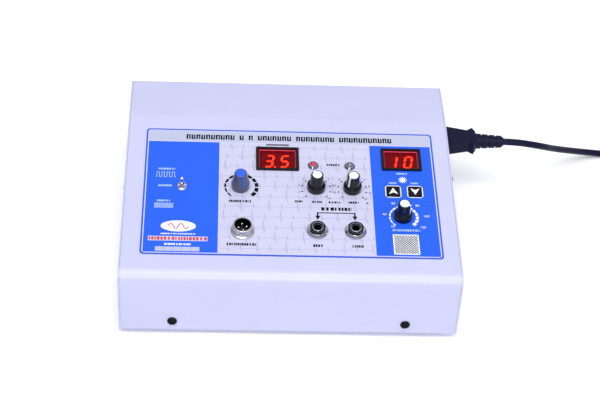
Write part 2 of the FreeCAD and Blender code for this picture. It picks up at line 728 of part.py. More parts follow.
# ---------------------------------------------------------------- toggle switch
def make_toggle():
    u, v = centre("mode")
    place = on_panel(u, v)
    under = -float(SHEET)
    case = box(8, 13, 9.6, z=under - 9.6)
    bush = cylinder(3, 4 - under, z=under)
    register(cut(fused([case, bush]), [cylinder(2.2, 8, z=-2.2)]), "mode_switch", place)
    nut = turned("mode_nut_shape", [(3, LABEL), (4.3, LABEL), (4.3, LABEL + 1.0, 0.3),
                                    (3.7, LABEL + 2.2, 0.6), (3, LABEL + 2.2)])
    register(nut, "mode_switch_nut", place)
    length = size("lever_length")
    lever = turned("lever_shape", [(0, -1.7), (1.7, -1.7, 1.2), (1.7, 0.8, 0.9), (1.05, 1.8),
                                   (1.5, length - 1.6), (1.5, length, 1.3), (0, length)])
    pivot = on_panel(u, v, lift=float(size("lever_pivot")))
    tilt = Placement(Vector(0, 0, 0), Rotation(Vector(1, 0, 0), float(size("lever_tilt"))))
    pin = cylinder(0.8, 4.1, x=-2.05, axis=ACROSS)
    register(fused([lever, pin]), "mode_switch_lever", pivot.multiply(tilt))


# ---------------------------------------------------------------- probe socket and output jacks
PIN_CIRCLE = 3.3
SOCKET_FOOT = 12


def make_probe_socket():
    place = on_panel(*centre("probe"))
    rim = LABEL + size("socket_proud")
    inner = size("socket_radius") - 1.05
    shell = turned("socket_shell_shape", [
        (inner, -SOCKET_FOOT), (7.6, -SOCKET_FOOT), (7.6, LABEL), (size("socket_flange_radius"), LABEL),
        (size("socket_flange_radius"), LABEL + 1.6, 0.5), (size("socket_radius"), LABEL + 2.0),
        (size("socket_radius"), rim, 0.5), (inner, rim)])
    register(shell, "probe_socket_shell", place)
    insert = turned("socket_insert_shape", [(0, -SOCKET_FOOT), (inner, -SOCKET_FOOT), (inner, rim - 0.4),
                                            (inner - 0.6, rim - 0.4), (inner - 0.6, 2.4), (0, 2.4)])
    holes = []
    pins = []
    for quarter in range(4):
        angle = math.radians(90 * quarter + 8)
        x, y = PIN_CIRCLE * math.cos(angle), PIN_CIRCLE * math.sin(angle)
        holes.append(cylinder(0.9, 30, x, y, -SOCKET_FOOT - 5))
        pins.append(Placement(Vector(x, y, 0), Rotation()))
    register(cut(insert, holes), "probe_socket_insert", place)
    tail = -SOCKET_FOOT - 3
    pin = turned("socket_pin_shape", [(0, tail), (0.9, tail), (0.9, 6.0, 0.7), (0, 6.0)])
    copies("probe_socket_pins", pin, [place.multiply(spot) for spot in pins])
    nut = hexagon(10.5, 2.6, 7.6, -float(SHEET) - 2.6)
    register(nut, "probe_socket_nut", place)


def make_jacks():
    bore, bush = size("jack_bore"), size("jack_bush_radius")
    top = LABEL + size("jack_proud")
    under = -float(SHEET)
    sleeve_outer, rim = size("jack_sleeve_radius"), size("jack_rim_radius")
    case = box(16, 18, size("jack_deep"), z=under - size("jack_deep"))
    collar = cylinder(bush, top - under, z=under)
    barrel = [cylinder(sleeve_outer, 30, z=-16), cylinder(rim, 2, z=float(top) - 0.6),
              cylinder(bore, 16, z=-24)]
    places = [on_panel(*centre("jack1")), on_panel(*centre("jack2"))]
    copies("output_jacks", cut(fused([case, collar]), barrel), places)
    sleeve = turned("sleeve_shape", [(bore, -16), (sleeve_outer, -16), (sleeve_outer, top - 0.6),
                                     (rim, top - 0.6), (rim, top + 0.4, 0.4), (rim - 0.8, top + 0.4),
                                     (bore + 0.3, top - 1.0), (bore, top - 1.0)])
    copies("jack_sleeves", sleeve, places)
    nut_rim, nut_top = size("jack_nut_radius"), LABEL + 3.2
    nut = turned("jack_nut_shape", [(bush, LABEL), (nut_rim, LABEL), (nut_rim, LABEL + 1.1, 0.4),
                                    (bush + 0.9, nut_top, 0.3), (bush, nut_top)])
    copies("jack_nuts", nut, places)


# ---------------------------------------------------------------- mains inlet and cord connector
INLET = world(HALF_WIDTH, size("inlet_back"), size("inlet_rise"))
# Contact positions in the inlet: along Y and Z from its middle.
CONTACTS = ((0, 2.0), (-7, -2.0), (7, -2.0))


def inlet_box(start, length, wide, tall, y=0.0, z=0.0):
    """A box whose near face is start from the wall's outer face, around the inlet's axis."""
    return box(length, wide, tall, x=INLET.x + float(start) + float(length) / 2, y=INLET.y + y,
               z=INLET.z + z - float(tall) / 2)


def along_x(edge):
    if edge.Curve.TypeId != "Part::GeomLine":
        return False
    return abs(abs(edge.Curve.Direction.x) - 1) < 1e-6


def inlet_screw_places():
    thick = float(size("flange_thick"))
    return [facing(ACROSS, INLET + Vector(thick, side * 20, 0)) for side in (-1, 1)]


def make_inlet():
    plate = inlet_box(0, size("flange_thick"), size("flange_wide"), size("flange_tall"))
    flange = rounded(plate, 4, along_x)
    shell = inlet_box(-size("inlet_deep"), size("inlet_deep"), size("inlet_wide"), size("inlet_tall"))
    tools = [inlet_box(-size("socket_deep"), 20, size("socket_wide"), size("socket_tall"))]
    for y, z in CONTACTS:
        tools.append(inlet_box(-20, 12, 2, 4, y, z))
    for place in inlet_screw_places():
        sink = cone(1.6, 2.9, 1.3, z=-1.3)
        tools.append(moved(sink, place))
        tools.append(moved(cylinder(1.6, 6, z=-5), place))
    register(cut(fused([flange, shell]), tools), "mains_inlet")
    blades = [inlet_box(-22, 20, 2, 4, y, z) for y, z in CONTACTS]
    group("inlet_pins", blades)
    screw = turned("inlet_screw_shape", [(0, -9), (1.45, -9), (1.45, -1.35), (2.8, 0), (0, 0)])
    copies("inlet_screws", screw, inlet_screw_places())


RELIEF_RIBS = 4


def lofted(name, sections, corner):
    """A body along X from the inlet's axis through (distance, width, height) rounded sections."""
    body = make_body(name)
    sketches = []
    for distance, wide, tall in sections:
        sketch = make_sketch(body, "YZ_Plane", INLET.x + float(distance))
        half_wide, half_tall = float(wide) / 2, float(tall) / 2
        outline(sketch, [(INLET.y + y * half_wide, INLET.z + z * half_tall, corner)
                         for y, z in ((-1, -1), (1, -1), (1, 1), (-1, 1))])
        sketches.append(sketch)
    feature = body.newObject("PartDesign::AdditiveLoft", "loft")
    feature.Profile = sketches[0]
    feature.Sections = sketches[1:]
    feature.Ruled = True
    body.Tip = feature
    return body


def make_connector():
    """Moulded line socket: nose in the inlet, neck, collar and ribbed strain relief."""
    seat = -size("socket_deep")
    handle = lofted("connector_shape", [
        (seat, size("nose_wide"), size("nose_tall")),
        (size("nose_end"), size("nose_wide"), size("nose_tall")),
        (size("neck_end"), size("neck_wide"), size("neck_tall")),
        (size("collar_end"), size("collar_wide"), size("collar_tall")),
        (size("grip_end"), size("grip_wide"), size("grip_tall"))], 2.5)
    start, end = float(size("grip_end")), float(size("relief_end"))
    wide, tip = float(size("relief_radius")), float(size("relief_tip_radius"))
    pitch = (end - start) / RELIEF_RIBS
    groove = 1.6
    steps = [(0, start)]
    for rib in range(RELIEF_RIBS):
        low, high = start + rib * pitch, start + (rib + 1) * pitch
        radius = wide + (tip - wide) * (low - start) / (end - start)
        root = radius - 1.3
        steps += [(radius, low), (radius - 0.2, high - groove), (root, high - groove), (root, high)]
    steps.append((0, end))
    relief = moved(turned("relief_shape", steps), facing(ACROSS, INLET))
    slots = [inlet_box(float(seat) - 1, 14.5, 2.4, 4.4, y, z) for y, z in CONTACTS]
    register(cut(fused([handle, relief]), slots), "cord_connector")


# ---------------------------------------------------------------- mains cord
CORD_EXIT = INLET + Vector(float(size("relief_end")), 0, 0)
CORD = size("cord_radius")
LIE = float(CORD)
# The stretch from the connector down to the table, towards the coil.
ROUTE = [CORD_EXIT, Vector(203.3, 78.6, 59), Vector(226.8, 83.3, 51.8), Vector(246.5, 105.5, 32.6),
         Vector(290, 141, LIE), Vector(325.8, 137.2, LIE)]
# The stretch from the coil's top turn to the plug.
TAIL = [Vector(370.1, 60.3, 21.6), Vector(360.3, 38.4, 21.6),
        Vector(352.9, 12.8, 15.5), Vector(343.1, -9.1, 15.5)]
PITCH = float(size("turn_pitch"))
OUTER_TURN = float(size("coil_middle")) + PITCH / 2
STUB = 25.0
TOP_TURN = LIE + 3 * PITCH


def coil_centre():
    heading = (ROUTE[-1] - ROUTE[-2]).normalize()
    touch = ROUTE[-1] + heading * STUB
    return touch + Vector(heading.y, -heading.x, 0) * OUTER_TURN


def coil_leave():
    """Where the cord leaves the coil's top turn: point, heading."""
    middle = coil_centre()
    begin = ROUTE[-1] + (ROUTE[-1] - ROUTE[-2]).normalize() * STUB - middle
    angle = math.atan2(begin.y, begin.x) - 2 * math.pi * float(size("coil_turns"))
    radial = Vector(math.cos(angle), math.sin(angle), 0)
    return Vector(middle.x, middle.y, TOP_TURN) + radial * OUTER_TURN, Vector(radial.y, -radial.x, 0)


def bent_tube(points):
    """Straight runs joined by tangent arcs, as a closed tube."""
    edges = []
    last = points[0]
    for before, corner, after in zip(points, points[1:], points[2:]):
        turn = (corner - before).getAngle(after - corner)
        shorter = min((corner - before).Length, (after - corner).Length)
        radius = 0.45 * shorter / math.tan(turn / 2)
        print(f"cord bend radius {radius:.1f}")
        first, middle, final = corner_arc(before, corner, after, radius)
        edges.append(Part.LineSegment(last, first).toShape())
        edges.append(Part.Arc(first, middle, final).toShape())
        last = final
    edges.append(Part.LineSegment(last, points[-1]).toShape())
    path = Part.Wire(edges)
    ring = Part.Wire(Part.makeCircle(float(CORD), points[0], points[1] - points[0]))
    print(f"cord stretch {path.Length:.1f}")
    return path.makePipeShell([ring], True, True)


def make_cord():
    solids = [bent_tube(ROUTE), bent_tube(TAIL)]
    cord = doc.addObject("Part::Feature", "mains_cord")
    cord.Shape = Part.makeCompound(solids)
    register(cord, "mains_cord")
    middle = coil_centre()
    half = PITCH / 2 + float(CORD)
    middle_radius = float(size("coil_middle"))
    tall = TOP_TURN + float(CORD)
    ring = cut(cylinder(middle_radius + half, tall, middle.x, middle.y),
               [cylinder(middle_radius - half, tall + 2, middle.x, middle.y, -1)])
    enter = (ROUTE[-1] - ROUTE[-2]).normalize()
    leave, heading = coil_leave()
    stubs = [cylinder(CORD, STUB, *ROUTE[-1], enter), cylinder(CORD, STUB, *leave, heading)]
    register(fused([ring] + stubs), "cord_coil")
    make_plug(facing(TAIL[-1] - TAIL[-2], TAIL[-1]))


def make_plug(place):
    """Moulded round-pin mains plug; local +Z runs from the strain relief to the pins."""
    relief, length = float(size("plug_relief")), float(size("plug_length"))
    taper = turned("plug_relief_shape", [(0, 0), (4.2, 0), (7.5, relief), (0, relief)])
    face = relief + length
    body = box(size("plug_wide"), size("plug_thick"), size("plug_length"), z=relief)
    body = rounded(body, 6, upright)
    register(fused([taper, body]), "mains_plug", upright_turn(place))
    pins = []
    for x, y, radius, reach in ((-11.1, 0, 3.53, 20.6), (11.1, -9.55, 2.55, 14.9), (11.1, 9.55, 2.55, 14.9)):
        pins.append(moved(cylinder(radius, reach, x, y, face), upright_turn(place)))
    group("plug_pins", pins)


def upright_turn(place):
    """The placement with its local Y turned to point up."""
    forward = place.Rotation.multVec(Vector(0, 0, 1))
    side = Vector(0, 0, 1).cross(forward).normalize()
    return Placement(place.Base, Rotation(side * -1, forward.cross(side), forward, "ZYX"))


# ---------------------------------------------------------------- inside
BOARDS = {"power_board": (-62, 152, 100, 76), "output_board": (-62, 66, 100, 70)}


def make_inside():
    floor = float(SHEET)
    seat = floor + float(size("pillar_height"))
    places = []
    for name, (x, back, wide, deep) in BOARDS.items():
        base = world(x, back, seat)
        parts = [box(wide, deep, size("board_thick"), base.x, base.y, base.z)]
        top = base.z + float(size("board_thick"))
        for column in range(3):
            can_x = base.x - wide / 2 + 18 + column * 16
            parts.append(cylinder(6, 20 - 2 * column, can_x, base.y + deep / 2 - 12, top))
            parts.append(box(10, 8, 12, can_x, base.y - 4, top))
        parts.append(box(24, 12, 14, base.x + wide / 2 - 26, base.y - deep / 2 + 16, top))
        register(fused(parts), name)
        for side in (-1, 1):
            for end in (-1, 1):
                corner = world(x + side * (wide / 2 - 5), back + end * (deep / 2 - 5), floor)
                places.append(Placement(corner, Rotation()))
    copies("board_pillars", cylinder(3, size("pillar_height")), places)
    lift = float(size("pillar_height") + size("board_thick"))
    screw = turned("board_screw_shape", [(0, lift), (2.8, lift), (2.8, lift + 1.6, 0.6), (0, lift + 1.6)])
    copies("board_screws", screw, places)
    make_heat_sink()
    make_transformer()


def make_heat_sink():
    """Finned extrusion standing on the output board."""
    x, back, wide, deep = BOARDS["output_board"]
    foot = float(SHEET) + float(size("pillar_height")) + float(size("board_thick"))
    base = world(x + 30, back + 14, foot)
    parts = [box(30, 3, 24, base.x, base.y, base.z)]
    for fin in range(7):
        parts.append(box(1.5, 12, 24, base.x - 13.5 + fin * 4.5, base.y + 6, base.z))
    register(fused(parts), "heat_sink")


def make_transformer():
    base = world(62, 128, SHEET)
    wide, deep, tall = size("core_wide"), size("core_deep"), size("core_height")
    window = box(float(wide) / 3, 60, float(tall) - 22, base.x - 16.5, base.y, base.z + 11)
    other = box(float(wide) / 3, 60, float(tall) - 22, base.x + 16.5, base.y, base.z + 11)
    feet = box(84, 18, 2, base.x, base.y, base.z)
    core = cut(fused([box(wide, deep, tall, base.x, base.y, base.z), feet]), [window, other])
    register(core, "transformer_core")
    coil = box(float(wide) - 11, 50, float(tall) - 22, base.x, base.y, base.z + 11)
    limb = box(11, 60, tall, base.x, base.y, base.z)
    register(cut(coil, [limb]), "transformer_winding")


# ---------------------------------------------------------------- rear wall: rocker switch and fuse holder
REAR = float(DEPTH - SHEET - GAP)


def make_rear():
    """Mains rocker switch and fuse holder; local +Z points to the rear."""
    spot = facing(BACKWARD, world(ROCKER["x"], REAR, ROCKER["rise"]))
    wide, tall = ROCKER["wide"], ROCKER["tall"]
    flange = rounded(box(wide + 3, tall + 3, 1.6), 1.2, upright)
    shell = box(wide - 0.4, tall - 0.4, 17, z=-17)
    cavity = box(16.4, 9.4, 16, z=-9)
    register(cut(fused([flange, shell]), [cavity]), "rocker_frame", spot)
    body = make_body("rocker_shape")
    sketch = make_sketch(body, "XZ_Plane")
    outline(sketch, [(-7.2, 2.0), (0, 1.3), (7.2, 3.4), (6.2, -4.5, 1.5), (-6.2, -4.5, 1.5)])
    pad(body, sketch, 8.6, both_ways=True)
    trunnion = cylinder(1.4, 9.0, y=-4.5, z=-1.0, axis=BACKWARD)
    register(fused([body, trunnion]), "power_rocker", spot)
    hole = facing(BACKWARD, world(FUSE["x"], REAR, FUSE["rise"]))
    holder = turned("fuse_holder_shape", [(3.6, -30), (6.2, -30), (6.2, 0), (8, 0), (8, 1.8, 0.4),
                                          (5.2, 1.8), (5.2, -3), (3.6, -3)])
    register(holder, "fuse_holder", hole)
    reach = float(SHEET + GAP + size("rear_proud"))
    cap = turned("fuse_cap_shape", [(0, -28), (3.3, -28), (3.3, -2.7), (4.9, -2.7),
                                    (4.9, reach, 0.8), (0, reach)])
    register(cut(cap, [box(7, 1.2, 1.2, z=reach - 1.0)]), "fuse_cap", hole)


# ---------------------------------------------------------------- build and write
def check_and_write():
    doc.recompute()
    for item in doc.Objects:
        faults = [state for state in item.State if state in ("Invalid", "Error")]
        if faults:
            raise RuntimeError(f"{item.Name} ({item.Label}): {faults}")
    for item in nodes:
        shape = item.Shape
        if shape.isNull() or not shape.isValid() or not shape.Solids:
            raise RuntimeError(f"{item.Label}: no valid solid")
        shape.exportStep(f"parts/{item.Label}.step")
        box_now = shape.BoundBox
        print(f"{item.Label:28s} solids {len(shape.Solids):2d} volume {shape.Volume:10.1f}"
              f" x {box_now.XMin:7.1f} {box_now.XMax:7.1f} y {box_now.YMin:7.1f} {box_now.YMax:7.1f}"
              f" z {box_now.ZMin:6.1f} {box_now.ZMax:6.1f}")
    print(f"{len(nodes)} nodes")


make_case()
make_displays()
make_boards()
for key in ("up_key", "down_key"):
    make_key(key)
make_lamps()
make_knobs()
make_toggle()
make_probe_socket()
make_jacks()
make_inlet()
make_connector()
make_cord()
make_inside()
make_rear()
check_and_write()
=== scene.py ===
import json
import math

import bmesh
import bpy
from mathutils import Matrix, Vector
from mathutils.geometry import tessellate_polygon


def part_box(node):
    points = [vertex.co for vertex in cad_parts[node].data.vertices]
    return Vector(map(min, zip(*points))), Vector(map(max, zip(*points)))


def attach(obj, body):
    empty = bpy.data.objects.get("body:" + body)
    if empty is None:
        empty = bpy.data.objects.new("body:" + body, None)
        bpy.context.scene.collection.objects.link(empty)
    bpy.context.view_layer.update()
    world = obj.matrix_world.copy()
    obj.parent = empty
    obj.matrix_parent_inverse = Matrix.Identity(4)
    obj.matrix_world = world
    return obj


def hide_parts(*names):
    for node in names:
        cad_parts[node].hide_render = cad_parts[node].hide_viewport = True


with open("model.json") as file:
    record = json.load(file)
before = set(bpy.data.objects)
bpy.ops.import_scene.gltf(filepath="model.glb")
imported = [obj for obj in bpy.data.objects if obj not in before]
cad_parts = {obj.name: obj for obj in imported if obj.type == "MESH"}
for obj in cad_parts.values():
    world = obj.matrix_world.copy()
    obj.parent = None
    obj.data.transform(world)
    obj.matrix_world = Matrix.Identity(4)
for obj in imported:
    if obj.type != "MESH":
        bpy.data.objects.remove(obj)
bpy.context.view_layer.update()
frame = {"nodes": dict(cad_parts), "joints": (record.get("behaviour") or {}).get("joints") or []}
MM = 0.001
scene = bpy.context.scene
JOINTS = {joint["name"]: joint for joint in frame["joints"]}

# The panel's own frame: u to the right, v up its slope and h off its surface, in millimetres.
NORMAL = Vector(JOINTS["intensity_turn"]["axis"]).normalized()
UPHILL = Vector((0, NORMAL.z, -NORMAL.y))
ACROSS = Vector((1, 0, 0))
# Where the label starts up the slope, and its thickness.
LABEL_START = 21.8
LABEL_TOP = 0.3
LABEL_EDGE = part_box("control_label")[0] + Vector((0, -NORMAL.y * LABEL_TOP * MM, 0))


def panel(u, v, h=0.0):
    """A place in the panel's frame, in the frame's metres."""
    foot = Vector((0, LABEL_EDGE.y, LABEL_EDGE.z))
    return foot + (ACROSS * u + UPHILL * (v - LABEL_START) + NORMAL * h) * MM


def joint_spot(name):
    """Where a joint's axis meets the panel, as (u, v)."""
    away = Vector(JOINTS[name]["pos_m"]) - Vector((0, LABEL_EDGE.y, LABEL_EDGE.z))
    return away.x / MM, away.dot(UPHILL) / MM + LABEL_START


# ---------------------------------------------------------------- camera
# Place in metres, lens and sensor in millimetres, turns in degrees.
CAMERA_AT = (-0.06017, -0.98957, 0.84062)
CAMERA_LENS, CAMERA_SENSOR = 90.76, 36
CAMERA_ELEVATION, CAMERA_YAW, CAMERA_ROLL = 38.509, -4.073, 3.733


def make_camera():
    """The photo's camera."""
    data = bpy.data.cameras.new("camera")
    data.lens, data.sensor_width, data.sensor_fit = CAMERA_LENS, CAMERA_SENSOR, "HORIZONTAL"
    data.clip_start, data.clip_end = 0.05, 20
    camera = bpy.data.objects.new("camera", data)
    turn = Matrix.Rotation(math.radians(CAMERA_YAW), 4, "Z")
    turn @= Matrix.Rotation(math.radians(90 - CAMERA_ELEVATION), 4, "X")
    turn @= Matrix.Rotation(math.radians(CAMERA_ROLL), 4, "Z")
    camera.matrix_world = Matrix.Translation(CAMERA_AT) @ turn
    scene.collection.objects.link(camera)
    scene.camera = camera


make_camera()

# ---------------------------------------------------------------- materials
# Scale of the broad mottling and the part of its noise that carries the colour change.
BROAD_SCALE = 28
MOTTLE_RANGE = (0.3, 0.7)
# Half the change of roughness over the grain, and the relief's depth in metres.
ROUGH_SPREAD = 0.06
RELIEF_DEPTH = 0.0003


def linear(channel):
    """Linear light from a screen value of 0 to 255."""
    channel /= 255
    return channel / 12.92 if channel <= 0.04045 else ((channel + 0.055) / 1.055) ** 2.4


def colour(red, green, blue):
    """A colour given in screen values from 0 to 255."""
    return (linear(red), linear(green), linear(blue), 1)


def node(tree, kind, **values):
    """A new shader node with the given settings."""
    made = tree.nodes.new(kind)
    for name, value in values.items():
        setattr(made, name, value)
    return made


def finish(name, tint, rough, metal=0.0, grain=900.0, bump=0.06, mottle=0.04, coat=0.0, wear=0.0,
           gloss=0.5, coat_rough=0.03):
    """A surface with fine grain in its relief, roughness and colour."""
    made = bpy.data.materials.new(name)
    made.use_nodes = True
    tree = made.node_tree
    shader = tree.nodes["Principled BSDF"]
    place = node(tree, "ShaderNodeTexCoord")
    fine = node(tree, "ShaderNodeTexNoise")
    fine.inputs["Scale"].default_value = grain
    fine.inputs["Detail"].default_value = 4
    broad = node(tree, "ShaderNodeTexNoise")
    broad.inputs["Scale"].default_value = BROAD_SCALE
    broad.inputs["Detail"].default_value = 5
    for texture in (fine, broad):
        tree.links.new(place.outputs["Object"], texture.inputs["Vector"])
    shade = node(tree, "ShaderNodeValToRGB")
    dark = [channel * (1 - mottle) for channel in tint[:3]]
    light = [min(channel * (1 + mottle), 1) for channel in tint[:3]]
    for stop, position, shown in zip(shade.color_ramp.elements, MOTTLE_RANGE, (dark, light)):
        stop.position = position
        stop.color = (*shown, 1)
    tree.links.new(broad.outputs["Fac"], shade.inputs["Fac"])
    tree.links.new(shade.outputs["Color"], shader.inputs["Base Color"])
    polish = node(tree, "ShaderNodeMapRange")
    polish.inputs["To Min"].default_value = max(rough - ROUGH_SPREAD - wear, 0.02)
    polish.inputs["To Max"].default_value = min(rough + ROUGH_SPREAD + wear, 1)
    tree.links.new(fine.outputs["Fac"], polish.inputs["Value"])
    tree.links.new(polish.outputs["Result"], shader.inputs["Roughness"])
    relief = node(tree, "ShaderNodeBump")
    relief.inputs["Strength"].default_value = bump
    relief.inputs["Distance"].default_value = RELIEF_DEPTH
    tree.links.new(fine.outputs["Fac"], relief.inputs["Height"])
    tree.links.new(relief.outputs["Normal"], shader.inputs["Normal"])
    shader.inputs["Metallic"].default_value = metal
    shader.inputs["Coat Weight"].default_value = coat
    shader.inputs["Coat Roughness"].default_value = coat_rough
    shader.inputs["Specular IOR Level"].default_value = gloss
    return made


def glow(name, tint, strength, rough=0.3):
    """A smooth surface that gives light of its own colour."""
    made = finish(name, tint, rough, bump=0.0)
    shader = made.node_tree.nodes["Principled BSDF"]
    shader.inputs["Emission Color"].default_value = tint
    shader.inputs["Emission Strength"].default_value = strength
    return made


# Strength of the glow painted into the display filters, which give no light of their own.
FILTER_PAINTED_GLOW = 0.5
FILTER_GLOSS = 0.05


def see_through(name, tint, alpha, rough):
    """Tinted clear plastic with little gloss and a faint painted glow, though the plastic is no lamp."""
    made = glow(name, tint, FILTER_PAINTED_GLOW, rough)
    shader = made.node_tree.nodes["Principled BSDF"]
    shader.inputs["Alpha"].default_value = alpha
    shader.inputs["Specular IOR Level"].default_value = FILTER_GLOSS
    return made


def ribbed(name, tint, rough, metal, pitch):
    """Laminated or finned metal: fine lines stacked along Z, one each pitch in metres."""
    made = finish(name, tint, rough, metal)
    tree = made.node_tree
    lines = node(tree, "ShaderNodeTexWave", wave_type="BANDS", bands_direction="Z")
    lines.inputs["Scale"].default_value = 1 / pitch
    place = tree.nodes["Texture Coordinate"]
    tree.links.new(place.outputs["Object"], lines.inputs["Vector"])
    tree.links.new(lines.outputs["Fac"], tree.nodes["Bump"].inputs["Height"])
    tree.nodes["Bump"].inputs["Strength"].default_value = 0.4
    return made


PAINT = finish("case_powder_coat", colour(199, 201, 235), 0.46, grain=1400, bump=0.10, mottle=0.02, coat=0.4,
               coat_rough=0.3)
PRINT_EDGE = finish("print_edge_blue", colour(30, 84, 214), 0.3, grain=2500, bump=0.03, mottle=0.02)
PRINT_PALE = finish("print_pale", colour(202, 202, 230), 0.3, grain=2500, bump=0.03, mottle=0.01)
PRINT_HEADER = finish("print_header", colour(186, 192, 220), 0.3, grain=2500, bump=0.03, mottle=0.02)
PRINT_BLUE = finish("print_blue", colour(36, 97, 240), 0.42, grain=2500, bump=0.03, mottle=0.03, gloss=0.2)
PRINT_WHITE = finish("print_white", colour(240, 242, 255), 0.3, grain=2500, bump=0.03, mottle=0.01)
PRINT_ICE = finish("print_ice_blue", colour(168, 196, 246), 0.35, grain=2500, bump=0.03, mottle=0.02)
PRINT_BLACK = finish("print_black", colour(8, 8, 14), 0.45, grain=2500, bump=0.03, mottle=0.05, gloss=0.1)
PRINT_GREY = finish("print_trace_grey", colour(172, 170, 208), 0.35, grain=2500, bump=0.03, mottle=0.03)
PRINT_RED = finish("print_red", colour(206, 62, 84), 0.35, grain=2500, bump=0.03, mottle=0.03)
BLACK = finish("black_moulded_plastic", colour(12, 12, 18), 0.42, grain=1800, bump=0.12, mottle=0.15,
               gloss=0.2)
GLOSSY = finish("black_gloss_plastic", colour(6, 6, 12), 0.12, grain=1200, bump=0.02, mottle=0.1, gloss=0.4)
KEY_RUBBER = finish("key_black_plastic", colour(8, 8, 12), 0.5, grain=1800, bump=0.08, mottle=0.1, gloss=0.2)
GREY_KNOB = finish("grey_gloss_plastic", colour(76, 82, 104), 0.2, grain=1200, bump=0.03, mottle=0.06,
                   coat=0.3)
BLUE_CAP = finish("blue_cap_plastic", colour(22, 92, 232), 0.32, grain=1200, bump=0.03, coat=0.2)
WHITE_CAP = finish("white_cap_plastic", colour(236, 238, 246), 0.3, grain=1200, bump=0.03, coat=0.2)
CHROME = finish("bright_chrome", colour(226, 226, 232), 0.1, 1.0, grain=700, bump=0.02, wear=0.03)
DARK_CHROME = finish("dark_chrome", colour(140, 142, 156), 0.16, 1.0, grain=700, bump=0.02, wear=0.04)
SATIN = finish("satin_nickel", colour(196, 194, 198), 0.27, 1.0, grain=900, bump=0.04, wear=0.04)
NICKEL = finish("nickel_plate", colour(186, 187, 196), 0.14, 1.0, grain=700, bump=0.02, wear=0.04)
ZINC = finish("zinc_steel", colour(176, 176, 180), 0.36, 1.0, grain=1500, bump=0.1, mottle=0.08)
BRASS = finish("plated_contacts", colour(214, 208, 190), 0.24, 1.0, grain=900, bump=0.04)
SCREW = finish("black_oxide_steel", colour(10, 10, 18), 0.4, 0.4, grain=1500, bump=0.1, mottle=0.2,
               gloss=0.2)
RUBBER = finish("foot_rubber", colour(22, 22, 24), 0.75, grain=2600, bump=0.3, mottle=0.2)
CORD_PVC = finish("cord_pvc", colour(20, 22, 52), 0.45, grain=1500, bump=0.1, mottle=0.12, gloss=0.12)
STRAP = finish("hook_loop_strap", colour(58, 60, 70), 0.85, grain=3200, bump=0.5, mottle=0.25, gloss=0.1)
BOARD = finish("board_solder_mask", colour(20, 92, 48), 0.35, grain=600, bump=0.15, mottle=0.2)
CORE = ribbed("core_laminations", colour(96, 98, 104), 0.42, 0.9, 0.0016)
TAPE = finish("winding_tape", colour(206, 176, 70), 0.4, grain=500, bump=0.2, mottle=0.1)
FINS = ribbed("anodised_fins", colour(40, 40, 44), 0.4, 0.9, 0.002)
FILTER = see_through("red_filter", colour(112, 2, 16), 0.46, 0.25)
MODULE = finish("module_face", colour(40, 6, 14), 0.5, grain=2000, bump=0.05, mottle=0.1)
SEGMENT_LIT = glow("segment_lit", (1.0, 0.024, 0.004, 1), 10.0)
SEGMENT_DARK = finish("segment_dark", colour(72, 12, 26), 0.5, grain=2000, bump=0.02)
# Painted highlights: faintly glowing pink and red strips for light caught on the rims of the display
# filters.
GLINT_PINK = glow("display_painted_highlight_pink", colour(206, 60, 84), 0.2)
GLINT_RED = glow("display_painted_highlight_red", colour(122, 16, 52), 0.2)
LAMP_RED = glow("lamp_red_lit", (0.5, 0.03, 0.07, 1), 0.3, 0.06)
LAMP_CLEAR = finish("lamp_clear", colour(112, 114, 132), 0.06, grain=700, bump=0.02, coat=1.0)
LAMP_WHITE = glow("lamp_white_lit", (0.96, 0.98, 1.0, 1), 2.5, 0.12)

NODE_FINISH = {
    "base_tray": PAINT, "top_cover": PAINT, "rubber_feet": RUBBER, "foot_screws": ZINC,
    "cover_screws": SCREW, "control_label": PRINT_EDGE, "power_display_bezel": BLACK,
    "timer_display_bezel": BLACK, "display_filters": FILTER, "display_modules": MODULE,
    "panel_boards": BOARD, "panel_spacers": ZINC, "up_key": KEY_RUBBER, "down_key": KEY_RUBBER,
    "timer_led": LAMP_WHITE, "led_bezels": DARK_CHROME, "potentiometers": ZINC, "pot_nuts": ZINC,
    "mode_switch": ZINC, "mode_switch_nut": CHROME, "mode_switch_lever": CHROME,
    "probe_socket_shell": SATIN, "probe_socket_insert": GLOSSY, "probe_socket_pins": BRASS,
    "probe_socket_nut": SATIN, "output_jacks": GLOSSY, "jack_sleeves": DARK_CHROME, "jack_nuts": NICKEL,
    "mains_inlet": BLACK, "inlet_pins": BRASS, "inlet_screws": ZINC, "cord_connector": CORD_PVC,
    "mains_plug": CORD_PVC, "plug_pins": BRASS, "power_board": BOARD, "output_board": BOARD,
    "board_pillars": ZINC, "board_screws": ZINC, "heat_sink": FINS, "transformer_core": CORE,
    "transformer_winding": TAPE, "rocker_frame": BLACK, "power_rocker": GLOSSY, "fuse_holder": BLACK,
    "fuse_cap": BLACK, "channel_leds": LAMP_CLEAR, "intensity_knob": GREY_KNOB, "channel1_knob": GLOSSY,
    "channel2_knob": GLOSSY, "frequency_knob": GLOSSY, "intensity_knob_cap": BLUE_CAP,
    "channel1_knob_cap": WHITE_CAP, "channel2_knob_cap": WHITE_CAP, "frequency_knob_cap": WHITE_CAP,
    "intensity_shaft": ZINC, "channel1_shaft": ZINC, "channel2_shaft": ZINC, "frequency_shaft": ZINC,
}


def paint_nodes():
    """Give each CAD piece in the table its finish."""
    for name, material in NODE_FINISH.items():
        mesh = frame["nodes"][name].data
        mesh.materials.clear()
        mesh.materials.append(material)


# ---------------------------------------------------------------- mains cord
CORD_RADIUS = 0.003
# The cord's middle line in metres: from the connector to the coil, and from the coil to the plug.
ROUTE = [(0.1913, 0.0786, 0.0590), (0.2033, 0.0786, 0.0590), (0.2268, 0.0833, 0.0518),
         (0.2465, 0.1055, 0.0326), (0.2900, 0.1410, 0.0030), (0.3258, 0.1372, 0.0030)]
TAIL = [(0.3701, 0.0603, 0.0216), (0.3603, 0.0384, 0.0216), (0.3529, 0.0128, 0.0155),
        (0.3431, -0.0091, 0.0155)]
